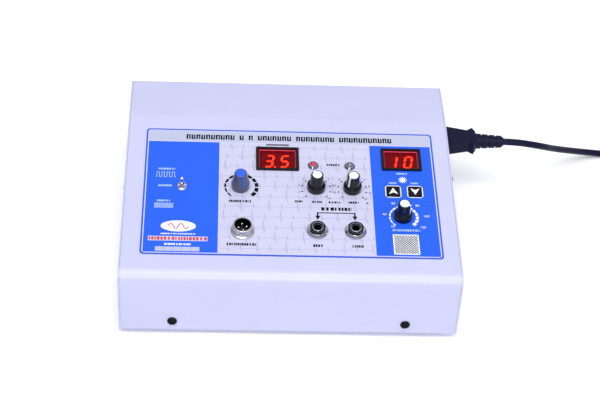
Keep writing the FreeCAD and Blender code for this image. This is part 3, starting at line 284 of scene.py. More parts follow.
# Distance from turn to turn, mean radius of the coil and length of straight cord before it.
TURN_PITCH = 0.0062
COIL_MIDDLE = 0.0336
COIL_STUB = 0.025
COIL_TURNS = 7.3
POINTS_PER_TURN = 16
# Column (0 outer, 1 inner) and layer of each turn, from the first to the last.
TURN_SEATS = ((0, 0), (1, 0), (1, 1), (0, 1), (0, 2), (1, 2), (1, 3), (0, 3))
# Part of a turn over which the cord crosses to its next seat.
CHANGE_OVER = 0.2


def eased(value):
    """A smooth step from 0 to 1."""
    value = min(max(value, 0), 1)
    return value * value * (3 - 2 * value)


def coil_place():
    """Middle of the coil's lowest turn, radius of its outer turns and the angle where the cord meets it."""
    first, last = Vector(ROUTE[-2]), Vector(ROUTE[-1])
    heading = (last - first).normalized()
    outer = COIL_MIDDLE + TURN_PITCH / 2
    touch = last + heading * COIL_STUB
    middle = touch + Vector((heading.y, -heading.x, 0)) * outer
    return middle, outer, math.atan2(touch.y - middle.y, touch.x - middle.x)


def coil_points():
    """The coil's turns, clockwise from where the cord meets them, from the table up."""
    middle, outer, start = coil_place()
    points = []
    for step in range(int(COIL_TURNS * POINTS_PER_TURN) + 1):
        turns = step / POINTS_PER_TURN
        seat = int(turns)
        here, after = TURN_SEATS[seat], TURN_SEATS[min(seat + 1, len(TURN_SEATS) - 1)]
        share = eased((turns - seat - 1 + CHANGE_OVER) / CHANGE_OVER)
        column = here[0] + (after[0] - here[0]) * share
        layer = here[1] + (after[1] - here[1]) * share
        radius = outer - column * TURN_PITCH
        angle = start - 2 * math.pi * turns
        spot = Vector((math.cos(angle), math.sin(angle), 0)) * radius
        points.append(middle + spot + Vector((0, 0, layer * TURN_PITCH)))
    return points


# The strap: width, thickness, length and steps of each rounded corner.
TIE_WIDE, TIE_THICK, TIE_CORNER, CORNER_STEPS = 0.012, 0.0009, 0.0024, 4
# Outline of the strands half a turn from the cord's entry, as (radius from the coil's middle, height).
TIE_LOOP = ((0.0272, 0.0010), (0.0400, 0.0010), (0.0402, 0.0186), (0.0338, 0.0250), (0.0272, 0.0250))
# The strap's free end lies on its top, a little narrower: (radius, height) of that second layer.
TIE_FLAP = ((0.0402, 0.0120), (0.0410, 0.0190), (0.0342, 0.0259), (0.0290, 0.0259))
FLAP_INSET = 0.0008


def softened(corners, closed):
    """The corners as a smooth line, each one rounded by a short curve."""
    line = []
    count = len(corners)
    for index, corner in enumerate(corners):
        spot = Vector(corner)
        if not closed and index in (0, count - 1):
            line.append(spot)
            continue
        before, after = Vector(corners[index - 1]) - spot, Vector(corners[(index + 1) % count]) - spot
        first, last = spot + before.normalized() * TIE_CORNER, spot + after.normalized() * TIE_CORNER
        for step in range(CORNER_STEPS + 1):
            share = step / CORNER_STEPS
            line.append(first * (1 - share) ** 2 + spot * 2 * share * (1 - share) + last * share ** 2)
    return line


def make_tie():
    """Hook-and-loop strap round all the strands of the coil, opposite the cord's entry."""
    middle, _, start = coil_place()
    outward = Vector((-math.cos(start), -math.sin(start), 0))
    along = Vector((outward.y, -outward.x, 0))
    foot = Vector((middle.x, middle.y, 0))
    form = bmesh.new()
    layers = ((TIE_LOOP, True, TIE_WIDE / 2), (TIE_FLAP, False, TIE_WIDE / 2 - FLAP_INSET))
    for corners, closed, half in layers:
        rows = []
        for radius, height in softened(corners, closed):
            spot = foot + outward * radius + Vector((0, 0, height))
            rows.append([form.verts.new(spot + along * side) for side in (-half, -half / 3, half / 3, half)])
        pairs = list(zip(rows, rows[1:]))
        if closed:
            pairs.append((rows[-1], rows[0]))
        for low, high in pairs:
            for k in range(3):
                form.faces.new((low[k], low[k + 1], high[k + 1], high[k]))
    mesh = bpy.data.meshes.new("cord_tie")
    form.to_mesh(mesh)
    form.free()
    tie = bpy.data.objects.new("cord_tie", mesh)
    scene.collection.objects.link(tie)
    shell = tie.modifiers.new("thickness", "SOLIDIFY")
    shell.thickness = TIE_THICK
    shell.offset = 1
    mesh.materials.append(STRAP)
    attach(tie, "console")
    return tie


def make_cord():
    """One run of cord from the connector through the coil to the plug."""
    curve = bpy.data.curves.new("mains_cord_line", "CURVE")
    curve.dimensions = "3D"
    curve.bevel_depth = CORD_RADIUS
    curve.bevel_resolution = 6
    curve.resolution_u = 12
    curve.use_fill_caps = True
    points = [*ROUTE, *coil_points(), *TAIL]
    line = curve.splines.new("NURBS")
    line.points.add(len(points) - 1)
    for point, place in zip(line.points, points):
        point.co = (*place, 1)
    line.order_u = 3
    line.use_endpoint_u = True
    cord = bpy.data.objects.new("mains_cord_run", curve)
    scene.collection.objects.link(cord)
    curve.materials.append(CORD_PVC)
    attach(cord, "console")
    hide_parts("mains_cord", "cord_coil")
    on_cord = [frame["nodes"][name] for name in ("cord_connector", "mains_plug", "plug_pins")]
    on_cord.append(make_tie())


make_cord()

# ---------------------------------------------------------------- printed artwork
# Height of each layer of print off the panel in millimetres, one print on the other.
FIELD_LAYER = LABEL_TOP + 0.02
BLOCK_LAYER = LABEL_TOP + 0.04
MARK_LAYER = LABEL_TOP + 0.06
TOP_LAYER = LABEL_TOP + 0.08

# Middles (u, v) of what stands in the label's openings.
KNOBS = ("intensity", "channel1", "channel2", "frequency")
KNOB_SPOTS = {name: joint_spot(name + "_turn") for name in KNOBS}
MODE_SPOT = (-87.8, 92.5)
PROBE_SPOT = (-38.5, 47.0)
JACK_SPOTS = ((21.3, 48.8), (51.8, 48.8))
LAMP_SPOTS = ((19.8, 119.2), (50.1, 119.2))
TIMER_LAMP_SPOT = (93.4, 105.4)
KEY_SPOTS = {"up_key": (84.8, 92.4), "down_key": (102.8, 92.6)}
# Middle, width and height of each display's window.
DISPLAYS = {"power_display": (-9.8, 125.5, 33.4, 23.3), "timer_display": (93.4, 127.5, 31.2, 21.9)}
# Side of the square key openings, and width and outer corner radius of the white line round them.
KEY_HOLE, KEY_OUTLINE, KEY_OUTLINE_CORNER = 11.6, 0.8, 2.6
# Radii of the round openings.
KNOB_HOLE, MODE_HOLE, PROBE_HOLE, JACK_HOLE, LAMP_HOLE, TIMER_LAMP_HOLE = 3.8, 3.3, 8.0, 6.6, 3.8, 1.8
# Edges of the blue blocks, of the pale middle between them and of the title strip over them.
BLOCK_LEFT, BLOCK_RIGHT, BLOCK_LOW, BLOCK_HIGH = -116.7, 118.7, 24.1, 143.5
MIDDLE_LEFT, MIDDLE_RIGHT = -58, 67.5
STRIP_LOW, STRIP_HIGH = 144.5, 155.8
# How far the pale ground shows past them, and the corner radii of the ground and the strip.
GROUND_MARGIN = 0.9
GROUND_CORNER, STRIP_CORNER = 2.4, 1.5


def circle(u, v, radius, count=32):
    """Corners of a round loop."""
    step = 2 * math.pi / count
    return [(u + radius * math.cos(step * k), v + radius * math.sin(step * k)) for k in range(count)]


def rect(left, low, right, high):
    """Corners of an upright rectangle."""
    return [(left, low), (right, low), (right, high), (left, high)]


def soft_rect(left, low, right, high, radius, count=6):
    """Rectangle with rounded corners."""
    points = []
    corners = ((right - radius, high - radius, 0), (left + radius, high - radius, 1),
               (left + radius, low + radius, 2), (right - radius, low + radius, 3))
    for u, v, quarter in corners:
        for step in range(count + 1):
            angle = math.pi / 2 * (quarter + step / count)
            points.append((u + radius * math.cos(angle), v + radius * math.sin(angle)))
    return points


def all_holes():
    """Every opening that the label has: (loop, u, v)."""
    round_holes = [(*spot, KNOB_HOLE) for spot in KNOB_SPOTS.values()]
    round_holes += [(*MODE_SPOT, MODE_HOLE), (*PROBE_SPOT, PROBE_HOLE)]
    round_holes += [(*spot, JACK_HOLE) for spot in JACK_SPOTS]
    round_holes += [(*spot, LAMP_HOLE) for spot in LAMP_SPOTS]
    holes = [(circle(u, v, radius), u, v) for u, v, radius in round_holes]
    holes.append((circle(*TIMER_LAMP_SPOT, TIMER_LAMP_HOLE, 20), *TIMER_LAMP_SPOT))
    openings = [(*spot, KEY_HOLE, KEY_HOLE) for spot in KEY_SPOTS.values()]
    for u, v, wide, tall in (*openings, *DISPLAYS.values()):
        holes.append((rect(u - wide / 2, v - tall / 2, u + wide / 2, v + tall / 2), u, v))
    return holes


HOLES = all_holes()


def span(loop, axis):
    """Lowest and highest value of a loop on one axis."""
    values = [point[axis] for point in loop]
    return min(values), max(values)


def holes_in(outer):
    """The openings inside a shape."""
    (left, right), (low, high) = span(outer, 0), span(outer, 1)
    return [loop for loop, u, v in HOLES if left < u < right and low < v < high]


def print_piece(name, shapes, height, material, body="console"):
    """One colour of print: a thin mesh of filled shapes, each a list of an outline and its holes."""
    mesh = bpy.data.meshes.new(name)
    vertices, faces = [], []
    for loops in shapes:
        flat = [[Vector((u, v, 0)) for u, v in loop] for loop in loops]
        offset = len(vertices)
        for loop in loops:
            vertices += [panel(u, v, height) for u, v in loop]
        for triangle in tessellate_polygon(flat):
            corners = [offset + index for index in triangle]
            a, b, c = (vertices[index] for index in corners)
            faces.append(corners if (b - a).cross(c - a).dot(NORMAL) > 0 else corners[::-1])
    mesh.from_pydata(vertices, [], faces)
    mesh.materials.append(material)
    piece = bpy.data.objects.new(name, mesh)
    scene.collection.objects.link(piece)
    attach(piece, body)
    return piece


SHORTEST_RUN = 0.3


def clear_run(low, high, gaps):
    """The parts of a run from low to high that no gap covers."""
    runs = [(low, high)]
    for start, end in sorted(gaps):
        cut_runs = []
        for first, last in runs:
            if end <= first or start >= last:
                cut_runs.append((first, last))
                continue
            if start > first:
                cut_runs.append((first, start))
            if end < last:
                cut_runs.append((end, last))
        runs = cut_runs
    return [(first, last) for first, last in runs if last - first > SHORTEST_RUN]


def level_line(v, left, right, thick):
    """A thin line across the panel that stops at openings."""
    gaps = [span(loop, 0) for loop, *_ in HOLES if span(loop, 1)[0] < v < span(loop, 1)[1]]
    runs = clear_run(left, right, gaps)
    return [[rect(first, v - thick / 2, last, v + thick / 2)] for first, last in runs]


def stroke(points, thick):
    """A line of even thickness through the points, as one quad for each stretch."""
    shapes = []
    for (u1, v1), (u2, v2) in zip(points, points[1:]):
        along = Vector((u2 - u1, v2 - v1)).normalized()
        side = Vector((-along.y, along.x)) * thick / 2
        shapes.append([[(u1 + side.x, v1 + side.y), (u1 - side.x, v1 - side.y),
                        (u2 - side.x, v2 - side.y), (u2 + side.x, v2 + side.y)]])
    return shapes


# Bars of a blank heading: shortest bar, growth for each step, usual gap, wide gap, least room for a bar.
BAR_SHORT, BAR_GROWTH, BAR_GAP, WORD_GAP, BAR_LEFTOVER = 0.8, 0.09, 0.42, 0.9, 0.4


def dashes(left, right, v, tall, seed, scale=1.0):
    """A row of short bars of uneven length, as a blank heading."""
    shapes = []
    place = left
    step = seed
    while place < right - BAR_LEFTOVER:
        step = (step * 7 + 3) % 11
        wide = (BAR_SHORT + BAR_GROWTH * step) * scale
        end = min(place + wide, right)
        shapes.append([rect(place, v - tall / 2, end, v + tall / 2)])
        place = end + (BAR_GAP if step % 4 else WORD_GAP) * scale
    return shapes


# Type size over the height of its figures.
TYPE_SIZE = 1.4


def numeral(text, u, v, tall):
    """A dial figure centred on (u, v), as filled triangles."""
    data = bpy.data.curves.new("figure", "FONT")
    data.body = text
    data.align_x, data.align_y = "CENTER", "CENTER"
    data.size = tall * TYPE_SIZE
    data.resolution_u = 4
    holder = bpy.data.objects.new("figure", data)
    mesh = bpy.data.meshes.new_from_object(holder)
    mesh.calc_loop_triangles()
    corners = [(u + vertex.co.x, v + vertex.co.y) for vertex in mesh.vertices]
    shapes = [[[corners[k] for k in triangle.vertices]] for triangle in mesh.loop_triangles]
    bpy.data.objects.remove(holder)
    bpy.data.curves.remove(data)
    bpy.data.meshes.remove(mesh)
    return shapes


def make_fields():
    """The pale ground, the title strip and the two blue blocks."""
    pale = soft_rect(BLOCK_LEFT - GROUND_MARGIN, BLOCK_LOW - GROUND_MARGIN, BLOCK_RIGHT + GROUND_MARGIN,
                     STRIP_HIGH + GROUND_MARGIN, GROUND_CORNER)
    print_piece("print_field", [[pale, *holes_in(pale)]], FIELD_LAYER, PRINT_PALE)
    header = soft_rect(BLOCK_LEFT, STRIP_LOW, BLOCK_RIGHT, STRIP_HIGH, STRIP_CORNER)
    print_piece("print_header_strip", [[header]], BLOCK_LAYER, PRINT_HEADER)
    blocks = (rect(BLOCK_LEFT, BLOCK_LOW, MIDDLE_LEFT, BLOCK_HIGH),
              rect(MIDDLE_RIGHT, BLOCK_LOW, BLOCK_RIGHT, BLOCK_HIGH))
    shapes = [[block, *holes_in(block)] for block in blocks]
    print_piece("print_side_blocks", shapes, BLOCK_LAYER, PRINT_BLUE)


# One beat of the chart trace: (along, rise) in millimetres from its start.
BEAT = ((0, 0), (4, 0), (4.7, 0.9), (5.4, 0), (6.6, 0), (7, -1.8), (7.6, 7.2), (8.2, -4.8), (8.7, 0),
        (12, 0), (13, 1.2), (14, 0), (17.4, 0), (17.7, 3.2), (18.1, -2.4), (18.5, 0), (23, 0))
BEAT_PITCH = 23
# Rows of traces: how many, height of the first, pitch, and the shift of each row to the left.
TRACE_ROWS, TRACE_BASE, ROW_PITCH, ROW_SHIFT = 11, 29, 11, 9
# Left end of the first row, beats in a row, thickness of the line and longest piece of it.
TRACE_START, BEATS_PER_ROW, TRACE_THICK, TRACE_PIECE = -57.5, 7, 0.4, 1.2
# What the traces stay inside: left, right, low and high.
TRACE_LEFT, TRACE_RIGHT, TRACE_LOW, TRACE_HIGH = -56.8, 66.4, 24.8, 142.6


def make_traces():
    """Faint heart-beat lines over the pale middle of the label."""
    shapes = []
    for row in range(TRACE_ROWS):
        base = TRACE_BASE + row * ROW_PITCH
        start = TRACE_START - (row * ROW_SHIFT) % BEAT_PITCH
        for beat in range(BEATS_PER_ROW):
            points = [(start + beat * BEAT_PITCH + along, base + rise) for along, rise in BEAT]
            for first, last in zip(points, points[1:]):
                shapes += clear_pieces(first, last)
    print_piece("print_traces", shapes, BLOCK_LAYER, PRINT_GREY)


def clear_pieces(first, last):
    """Short strokes from first to last that stay on the middle field and off the openings."""
    count = max(int(math.dist(first, last) / TRACE_PIECE), 1)
    spots = [(first[0] + (last[0] - first[0]) * k / count, first[1] + (last[1] - first[1]) * k / count)
             for k in range(count + 1)]
    shapes = []
    for begin, end in zip(spots, spots[1:]):
        u, v = (begin[0] + end[0]) / 2, (begin[1] + end[1]) / 2
        on_field = TRACE_LEFT < u < TRACE_RIGHT and TRACE_LOW < v < TRACE_HIGH
        if on_field and not any(near_hole(loop, u, v) for loop, *_ in HOLES):
            shapes += stroke([begin, end], TRACE_THICK)
    return shapes


def near_hole(loop, u, v, margin=1.0):
    """Whether a point is inside an opening's rectangle or closer to it than the margin."""
    (left, right), (low, high) = span(loop, 0), span(loop, 1)
    return left - margin < u < right + margin and low - margin < v < high + margin


# Bars in each group of the title row, its ends, heights and the gap between groups.
TITLE_GROUPS = (10, 1, 1, 7, 8, 11)
TITLE_LEFT, TITLE_RIGHT, TITLE_LOW, TITLE_HIGH, TITLE_GAP = -86, 87, 146.8, 152.0, 3.6
# Each figure is a wide bar, a foot and a narrow bar: the bars' edges from its middle, the foot's height.
WIDE_BAR, NARROW_BAR, FOOT_TALL = (-1.75, -0.3), (0.5, 1.65), 1.2


def title_ornament():
    """Groups of bold upright bars with feet, in place of a title."""
    shapes = []
    gaps = TITLE_GAP * (len(TITLE_GROUPS) - 1)
    pitch = (TITLE_RIGHT - TITLE_LEFT - gaps) / sum(TITLE_GROUPS)
    u = TITLE_LEFT
    for group, bars in enumerate(TITLE_GROUPS):
        for bar in range(bars):
            middle = u + pitch / 2
            for left, right in (WIDE_BAR, NARROW_BAR):
                shapes.append([rect(middle + left, TITLE_LOW, middle + right, TITLE_HIGH)])
            foot = TITLE_LOW if (bar + group) % 2 else TITLE_HIGH - FOOT_TALL
            shapes.append([rect(middle + WIDE_BAR[1], foot, middle + NARROW_BAR[0], foot + FOOT_TALL)])
            u += pitch
        u += TITLE_GAP
    return shapes


# Marks round a channel knob: how many, angle of the first and turn from each to the next in degrees.
DIAL_MARKS, DIAL_START, DIAL_STEP = 10, 225, 30
# How far the dial's middle lies below the knob's, radii of the rings of dots and figures, and their sizes.
DIAL_DROP, DOTS_RING, FIGURES_RING, DOT_RADIUS, FIGURE_TALL = 0.6, 11.8, 14.6, 0.75, 2.2


def dial_spots(spot, radius):
    """Where the marks stand round a knob, from lower left clockwise to lower right."""
    angles = [math.radians(DIAL_START - DIAL_STEP * index) for index in range(DIAL_MARKS)]
    return [(spot[0] + radius * math.cos(angle), spot[1] + radius * math.sin(angle)) for angle in angles]


def channel_dial(knob):
    """A dot and a figure for each of the ten steps of a channel knob."""
    u, v = KNOB_SPOTS[knob]
    middle = (u, v - DIAL_DROP)
    shapes = [[circle(*spot, DOT_RADIUS, 12)] for spot in dial_spots(middle, DOTS_RING)]
    for index, spot in enumerate(dial_spots(middle, FIGURES_RING)):
        shapes += numeral(str(index + 1), *spot, FIGURE_TALL)
    return shapes


# Start and end of a ring in degrees, part of each step that its stroke fills, and stretches in a stroke.
RING_START, RING_END, RING_FILL, RING_STEPS = 232, -52, 0.8, 4
# Rings of the two larger dials: shift of the middle, radius, thinnest and thickest stroke, strokes.
RINGS = {"intensity": (0.5, 12.9, 1.3, 3.3, 12), "frequency": (0.7, 11.2, 1.0, 2.7, 15)}


def growing_ring(knob):
    """Ring of separate strokes round a knob that grow clockwise."""
    shift, radius, thin, thick, pieces = RINGS[knob]
    u, v = KNOB_SPOTS[knob]
    u += shift
    shapes = []
    sweep = (RING_END - RING_START) / pieces
    for index in range(pieces):
        share = index / (pieces - 1)
        half = (thin + (thick - thin) * share) / 2
        first = RING_START + sweep * index
        arc = [math.radians(first + sweep * RING_FILL * step / RING_STEPS) for step in range(RING_STEPS + 1)]
        outer = [(u + (radius + half) * math.cos(a), v + (radius + half) * math.sin(a)) for a in arc]
        inner = [(u + (radius - half) * math.cos(a), v + (radius - half) * math.sin(a)) for a in arc]
        shapes.append([outer + inner[::-1]])
    return shapes


# Where each pulse rises and falls in its step, and the thickness of its line.
PULSE_RISE, PULSE_FALL, PULSE_THICK = 0.2, 0.7, 0.55


def pulse_wave(left, right, low, high, pulses):
    """A row of square pulses."""
    points = [(left, low)]
    pitch = (right - left) / pulses
    for index in range(pulses):
        rise, fall = (left + (index + share) * pitch for share in (PULSE_RISE, PULSE_FALL))
        points += [(rise, low), (rise, high), (fall, high), (fall, low)]
    points.append((right, low))
    return stroke(points, PULSE_THICK)


# Blank captions in black: left, right, height of the middle, tall, seed and scale.
BLACK_CAPTIONS = (
    (-49.5, -31, 78.6, 2.3, 3, 1.0), (-19, 0, 142, 1.9, 5, 1.0), (31, 42.5, 120.5, 2.1, 2, 1.0),
    (4, 10, 79.6, 2.1, 2, 1.0), (31.3, 40.5, 79.2, 2.1, 7, 1.0), (62, 64.5, 79, 1.4, 1, 1.0),
    (25, 49.5, 72, 3.4, 7, 1.7), (-51, -27.8, 33.3, 2.6, 8, 1.0), (17.5, 25.8, 33.3, 2.5, 1, 1.0),
    (48.7, 57.6, 33.3, 2.5, 9, 1.0))
# Captions under the channel knobs: each one's seed, reach to the left and right of the knob, v, height.
CHANNEL_SEEDS = {"channel1": 4, "channel2": 6}
CHANNEL_CAPTION = (3.6, 4.6, 79.4, 2.1)
# The bracket over the jacks: its arms, then its level line and how far that reaches past them.
BRACKET_ARMS, ARM_TOP, ARM_END, ARM_THICK = (22, 52), 68.2, 64, 1.3
BRACKET_LEVEL, BRACKET_THICK, BRACKET_REACH = 67.8, 0.95, 0.3
# Base, tip and half width of its arrow heads.
HEAD_BASE, HEAD_TIP, HEAD_HALF = 64.6, 60.2, 2.1


def make_black_marks():
    """Title bars, the marks round three knobs, captions and the bracket over the jacks."""
    marks = title_ornament() + growing_ring("intensity")
    left, right, v, tall = CHANNEL_CAPTION
    for channel, seed in CHANNEL_SEEDS.items():
        u = KNOB_SPOTS[channel][0]
        marks += channel_dial(channel) + dashes(u - left, u + right, v, tall, seed)
    for caption in BLACK_CAPTIONS:
        marks += dashes(*caption)
    left, right = BRACKET_ARMS[0] - BRACKET_REACH, BRACKET_ARMS[1] + BRACKET_REACH
    marks += stroke([(left, BRACKET_LEVEL), (right, BRACKET_LEVEL)], BRACKET_THICK)
    for u in BRACKET_ARMS:
        marks += stroke([(u, ARM_TOP), (u, ARM_END)], ARM_THICK)
        marks.append([[(u - HEAD_HALF, HEAD_BASE), (u, HEAD_TIP), (u + HEAD_HALF, HEAD_BASE)]])
    print_piece("print_marks_black", marks, TOP_LAYER, PRINT_BLACK)


# Figures round the frequency dial: text and middle.
DIAL_FIGURES = (("20", 82.2, 54.8), ("40", 76.2, 67.6), ("60", 84, 79.6), ("80", 103.6, 77.6),
                ("100", 110.2, 66.2), ("120", 106.6, 54.4))
DIAL_FIGURE_TALL = 2.3
# Rays round the timer lamp: how many, their inner and outer ends and thickness.
RAYS, RAY_ENDS, RAY_THICK = 12, (2.2, 3.4), 0.7


def make_white_marks():
    """The frequency dial, the rays of the timer lamp and the outlines of the keys."""
    marks = growing_ring("frequency")
    for text, u, v in DIAL_FIGURES:
        marks += numeral(text, u, v, DIAL_FIGURE_TALL)
    u, v = TIMER_LAMP_SPOT
    for ray in range(RAYS):
        angle = 2 * math.pi * ray / RAYS
        marks += stroke([(u + reach * math.cos(angle), v + reach * math.sin(angle)) for reach in RAY_ENDS],
                        RAY_THICK)
    inner = KEY_HOLE / 2
    outer = inner + KEY_OUTLINE
    for u, v in KEY_SPOTS.values():
        marks.append([soft_rect(u - outer, v - outer, u + outer, v + outer, KEY_OUTLINE_CORNER),
                      rect(u - inner, v - inner, u + inner, v + inner)])
    print_piece("print_marks_white", marks, MARK_LAYER, PRINT_WHITE)


# Blank captions in ice blue: left, right, height of the middle, tall and seed.
ICE_CAPTIONS = ((81.7, 104, 51, 2.1, 4), (88.5, 98, 112.4, 2.0, 6), (-107.5, -94, 112.4, 2.0, 3),
                (-107, -96, 94, 2.1, 5), (-107.5, -97, 77.6, 2.0, 6))
# Captions over the keys: half their width, height over the key's middle, tall and seed.
KEY_CAPTION = (3, 9.4, 1.8, 5)
# The two pulse signs: left, right, low, high and number of pulses.
PULSE_SIGNS = ((-109.5, -93, 103.4, 109, 4), (-109.5, -94, 70.4, 74.6, 9))
# Distance from the second sign to the lines over and under it.
SIGN_LINES_OUT = 0.2


def make_captions():
    """Blank captions and the two pulse signs, in ice blue."""
    marks = []
    for caption in ICE_CAPTIONS:
        marks += dashes(*caption)
    half, rise, tall, seed = KEY_CAPTION
    for u, v in KEY_SPOTS.values():
        marks += dashes(u - half, u + half, v + rise, tall, seed)
    for sign in PULSE_SIGNS:
        marks += pulse_wave(*sign)
    left, right, low, high, _ = PULSE_SIGNS[1]
    for v in (low - SIGN_LINES_OUT, high + SIGN_LINES_OUT):
        marks += level_line(v, left, right, PULSE_THICK)
    print_piece("print_captions", marks, MARK_LAYER, PRINT_ICE)


# The oval badge: middle, half width, half height and corners.
BADGE_U, BADGE_V, BADGE_HALF_WIDE, BADGE_HALF_TALL, BADGE_CORNERS = -89.5, 51, 14, 5.8, 48
# Its wave: start, step, points, swing, turn in radians for each millimetre, and thickness.
WAVE_START, WAVE_STEP, WAVE_POINTS, WAVE_SWING, WAVE_TURN, WAVE_THICK = -97.5, 0.5, 33, 2.8, 0.78, 0.8
# The strip under the badge as left, low, right and high, the bars on it, and the rules over and under it.
NAME_STRIP = (-113, 35.6, -66, 40.4)
NAME_BARS = (-112.4, -66.6, 38, 3.2, 3, 1.4)
RULES = ((-103, -76, 42.9, 1.2, 6), (-100, -79, 32.2, 1.9, 2))
# The row of blank cells: how many, their pitch, width, first edge, low and high.
CELLS, CELL_PITCH, CELL_WIDE, CELL_LEFT, CELL_LOW, CELL_HIGH = 5, 7, 6.8, -107, 25.2, 29.6
# The mesh sticker: its left and lower edge, side, white border, and squares in a row of the mesh.
STICKER_LEFT, STICKER_LOW, STICKER_SIDE, STICKER_BORDER = 81.5, 25.8, 20.8, 1.0
MESH_ROWS = 17
MESH_CELL = (STICKER_SIDE - 2 * STICKER_BORDER) / MESH_ROWS


def make_badge():
    """Plain sine-wave badge, blank strips and a fine mesh sticker."""
    ring = circle(0, 0, 1, BADGE_CORNERS)
    badge = [(BADGE_U + BADGE_HALF_WIDE * u, BADGE_V + BADGE_HALF_TALL * v) for u, v in ring]
    print_piece("print_badge", [[badge]], MARK_LAYER, PRINT_WHITE)
    runs = [k * WAVE_STEP for k in range(WAVE_POINTS)]
    wave = [(WAVE_START + run, BADGE_V + WAVE_SWING * math.sin(run * WAVE_TURN)) for run in runs]
    print_piece("print_badge_wave", stroke(wave, WAVE_THICK), TOP_LAYER, PRINT_RED)
    print_piece("print_strip", [[rect(*NAME_STRIP)]], MARK_LAYER, PRINT_PALE)
    print_piece("print_strip_bar", dashes(*NAME_BARS), TOP_LAYER, PRINT_RED)
    rules = [bar for rule in RULES for bar in dashes(*rule)]
    print_piece("print_rules", rules, MARK_LAYER, PRINT_WHITE)
    edges = [CELL_LEFT + k * CELL_PITCH for k in range(CELLS)]
    cells = [[rect(edge, CELL_LOW, edge + CELL_WIDE, CELL_HIGH)] for edge in edges]
    print_piece("print_cells", cells, MARK_LAYER, PRINT_HEADER)
    sticker = rect(STICKER_LEFT, STICKER_LOW, STICKER_LEFT + STICKER_SIDE, STICKER_LOW + STICKER_SIDE)
    print_piece("print_sticker", [[sticker]], MARK_LAYER, PRINT_WHITE)
    checks = []
    for row in range(MESH_ROWS):
        for column in range(MESH_ROWS):
            if (row + column) % 2 == 0:
                u = STICKER_LEFT + STICKER_BORDER + column * MESH_CELL
                v = STICKER_LOW + STICKER_BORDER + row * MESH_CELL
                checks.append([rect(u, v, u + MESH_CELL, v + MESH_CELL)])
    print_piece("print_sticker_mesh", checks, TOP_LAYER, PRINT_BLACK)


# Height of the print on the keys off the panel, and the arrow's corners on the up key.
KEY_TOP = 1.03
ARROW = ((-3.9, -3.3), (0, 3.7), (3.9, -3.3), (0, -1.5))


def make_key_arrows():
    """Notched white arrows on the two keys."""
    for name, way in (("up_key", 1), ("down_key", -1)):
        u, v = KEY_SPOTS[name]
        arrow = [(u + across, v + rise * way) for across, rise in ARROW]
        print_piece(name + "_arrow", [[arrow]], KEY_TOP, PRINT_WHITE, body=name + "_cap")


# ---------------------------------------------------------------- displays and lamps
# Lit bars of each figure: a top, b and c right, d bottom, e and f left, g middle.
SEGMENTS = {"0": "abcdef", "1": "bc", "3": "abcdg", "5": "acdfg"}
# Size of a digit, thickness of its bars, and the gap at each end of a bar.
DIGIT_TALL, DIGIT_WIDE, BAR, BAR_END_GAP = 14.2, 7.4, 1.8, 0.25
# Distance between the two digits, and the middle of the pair from the window's middle.
DIGIT_PITCH, DIGIT_SHIFT, DIGIT_DROP = 12.7, -0.2, -0.4
LEAN = math.tan(math.radians(10))
# The decimal point, from the digit's lower right corner.
POINT_OUT, POINT_UP, POINT_RADIUS = 0.7, 0.8, 0.85
# Height of the module's and the filter's faces off the panel, and of what is laid on them.
MODULE_FACE = -1.6
FILTER_FACE = 0.9
DARK_LAYER, LIT_LAYER, GLINT_LAYER = MODULE_FACE + 0.04, MODULE_FACE + 0.05, FILTER_FACE + 0.02


def segment_shapes(u, v):
    """The seven bars of a digit centred on (u, v): name to outline."""
    half_w, half_h = (DIGIT_WIDE - BAR) / 2, (DIGIT_TALL - BAR) / 2
    level = {"a": half_h, "g": 0.0, "d": -half_h}
    upright = {"f": (-half_w, 0, half_h), "b": (half_w, 0, half_h), "e": (-half_w, -half_h, 0),
               "c": (half_w, -half_h, 0)}
    loops = {}
    tip = BAR / 2
    for key, y in level.items():
        left, right = -half_w + BAR_END_GAP, half_w - BAR_END_GAP
        loops[key] = [(left, y), (left + tip, y + tip), (right - tip, y + tip), (right, y),
                      (right - tip, y - tip), (left + tip, y - tip)]
    for key, (x, low, high) in upright.items():
        low, high = low + BAR_END_GAP, high - BAR_END_GAP
        loops[key] = [(x, low), (x + tip, low + tip), (x + tip, high - tip), (x, high),
                      (x - tip, high - tip), (x - tip, low + tip)]
    return {key: [(u + x + y * LEAN, v + y) for x, y in loop] for key, loop in loops.items()}


def make_digits(display, text):
    """The lit and unlit bars and points of a display's two digits."""
    u, v = DISPLAYS[display][:2]
    v += DIGIT_DROP
    lit, dark = [], []
    for index, figure in enumerate(text.replace(".", "")):
        spot = u + (index - 0.5) * DIGIT_PITCH + DIGIT_SHIFT
        for key, loop in segment_shapes(spot, v).items():
            (lit if key in SEGMENTS[figure] else dark).append([loop])
        point = circle(spot + DIGIT_WIDE / 2 + POINT_OUT, v - DIGIT_TALL / 2 + POINT_UP, POINT_RADIUS, 16)
        (lit if text.find(".") == index + 1 else dark).append([point])
    print_piece(display + "_segments_lit", lit, LIT_LAYER, SEGMENT_LIT)
    print_piece(display + "_segments_dark", dark, DARK_LAYER, SEGMENT_DARK)


# Painted highlight on a filter's rim: its way in from the window's edge, and the width of its top, right and
# left.
GLINT_INSET, GLINT_TOP, GLINT_RIGHT, GLINT_LEFT, GLINT_END = 1.4, 1.0, 0.9, 0.5, 1.3


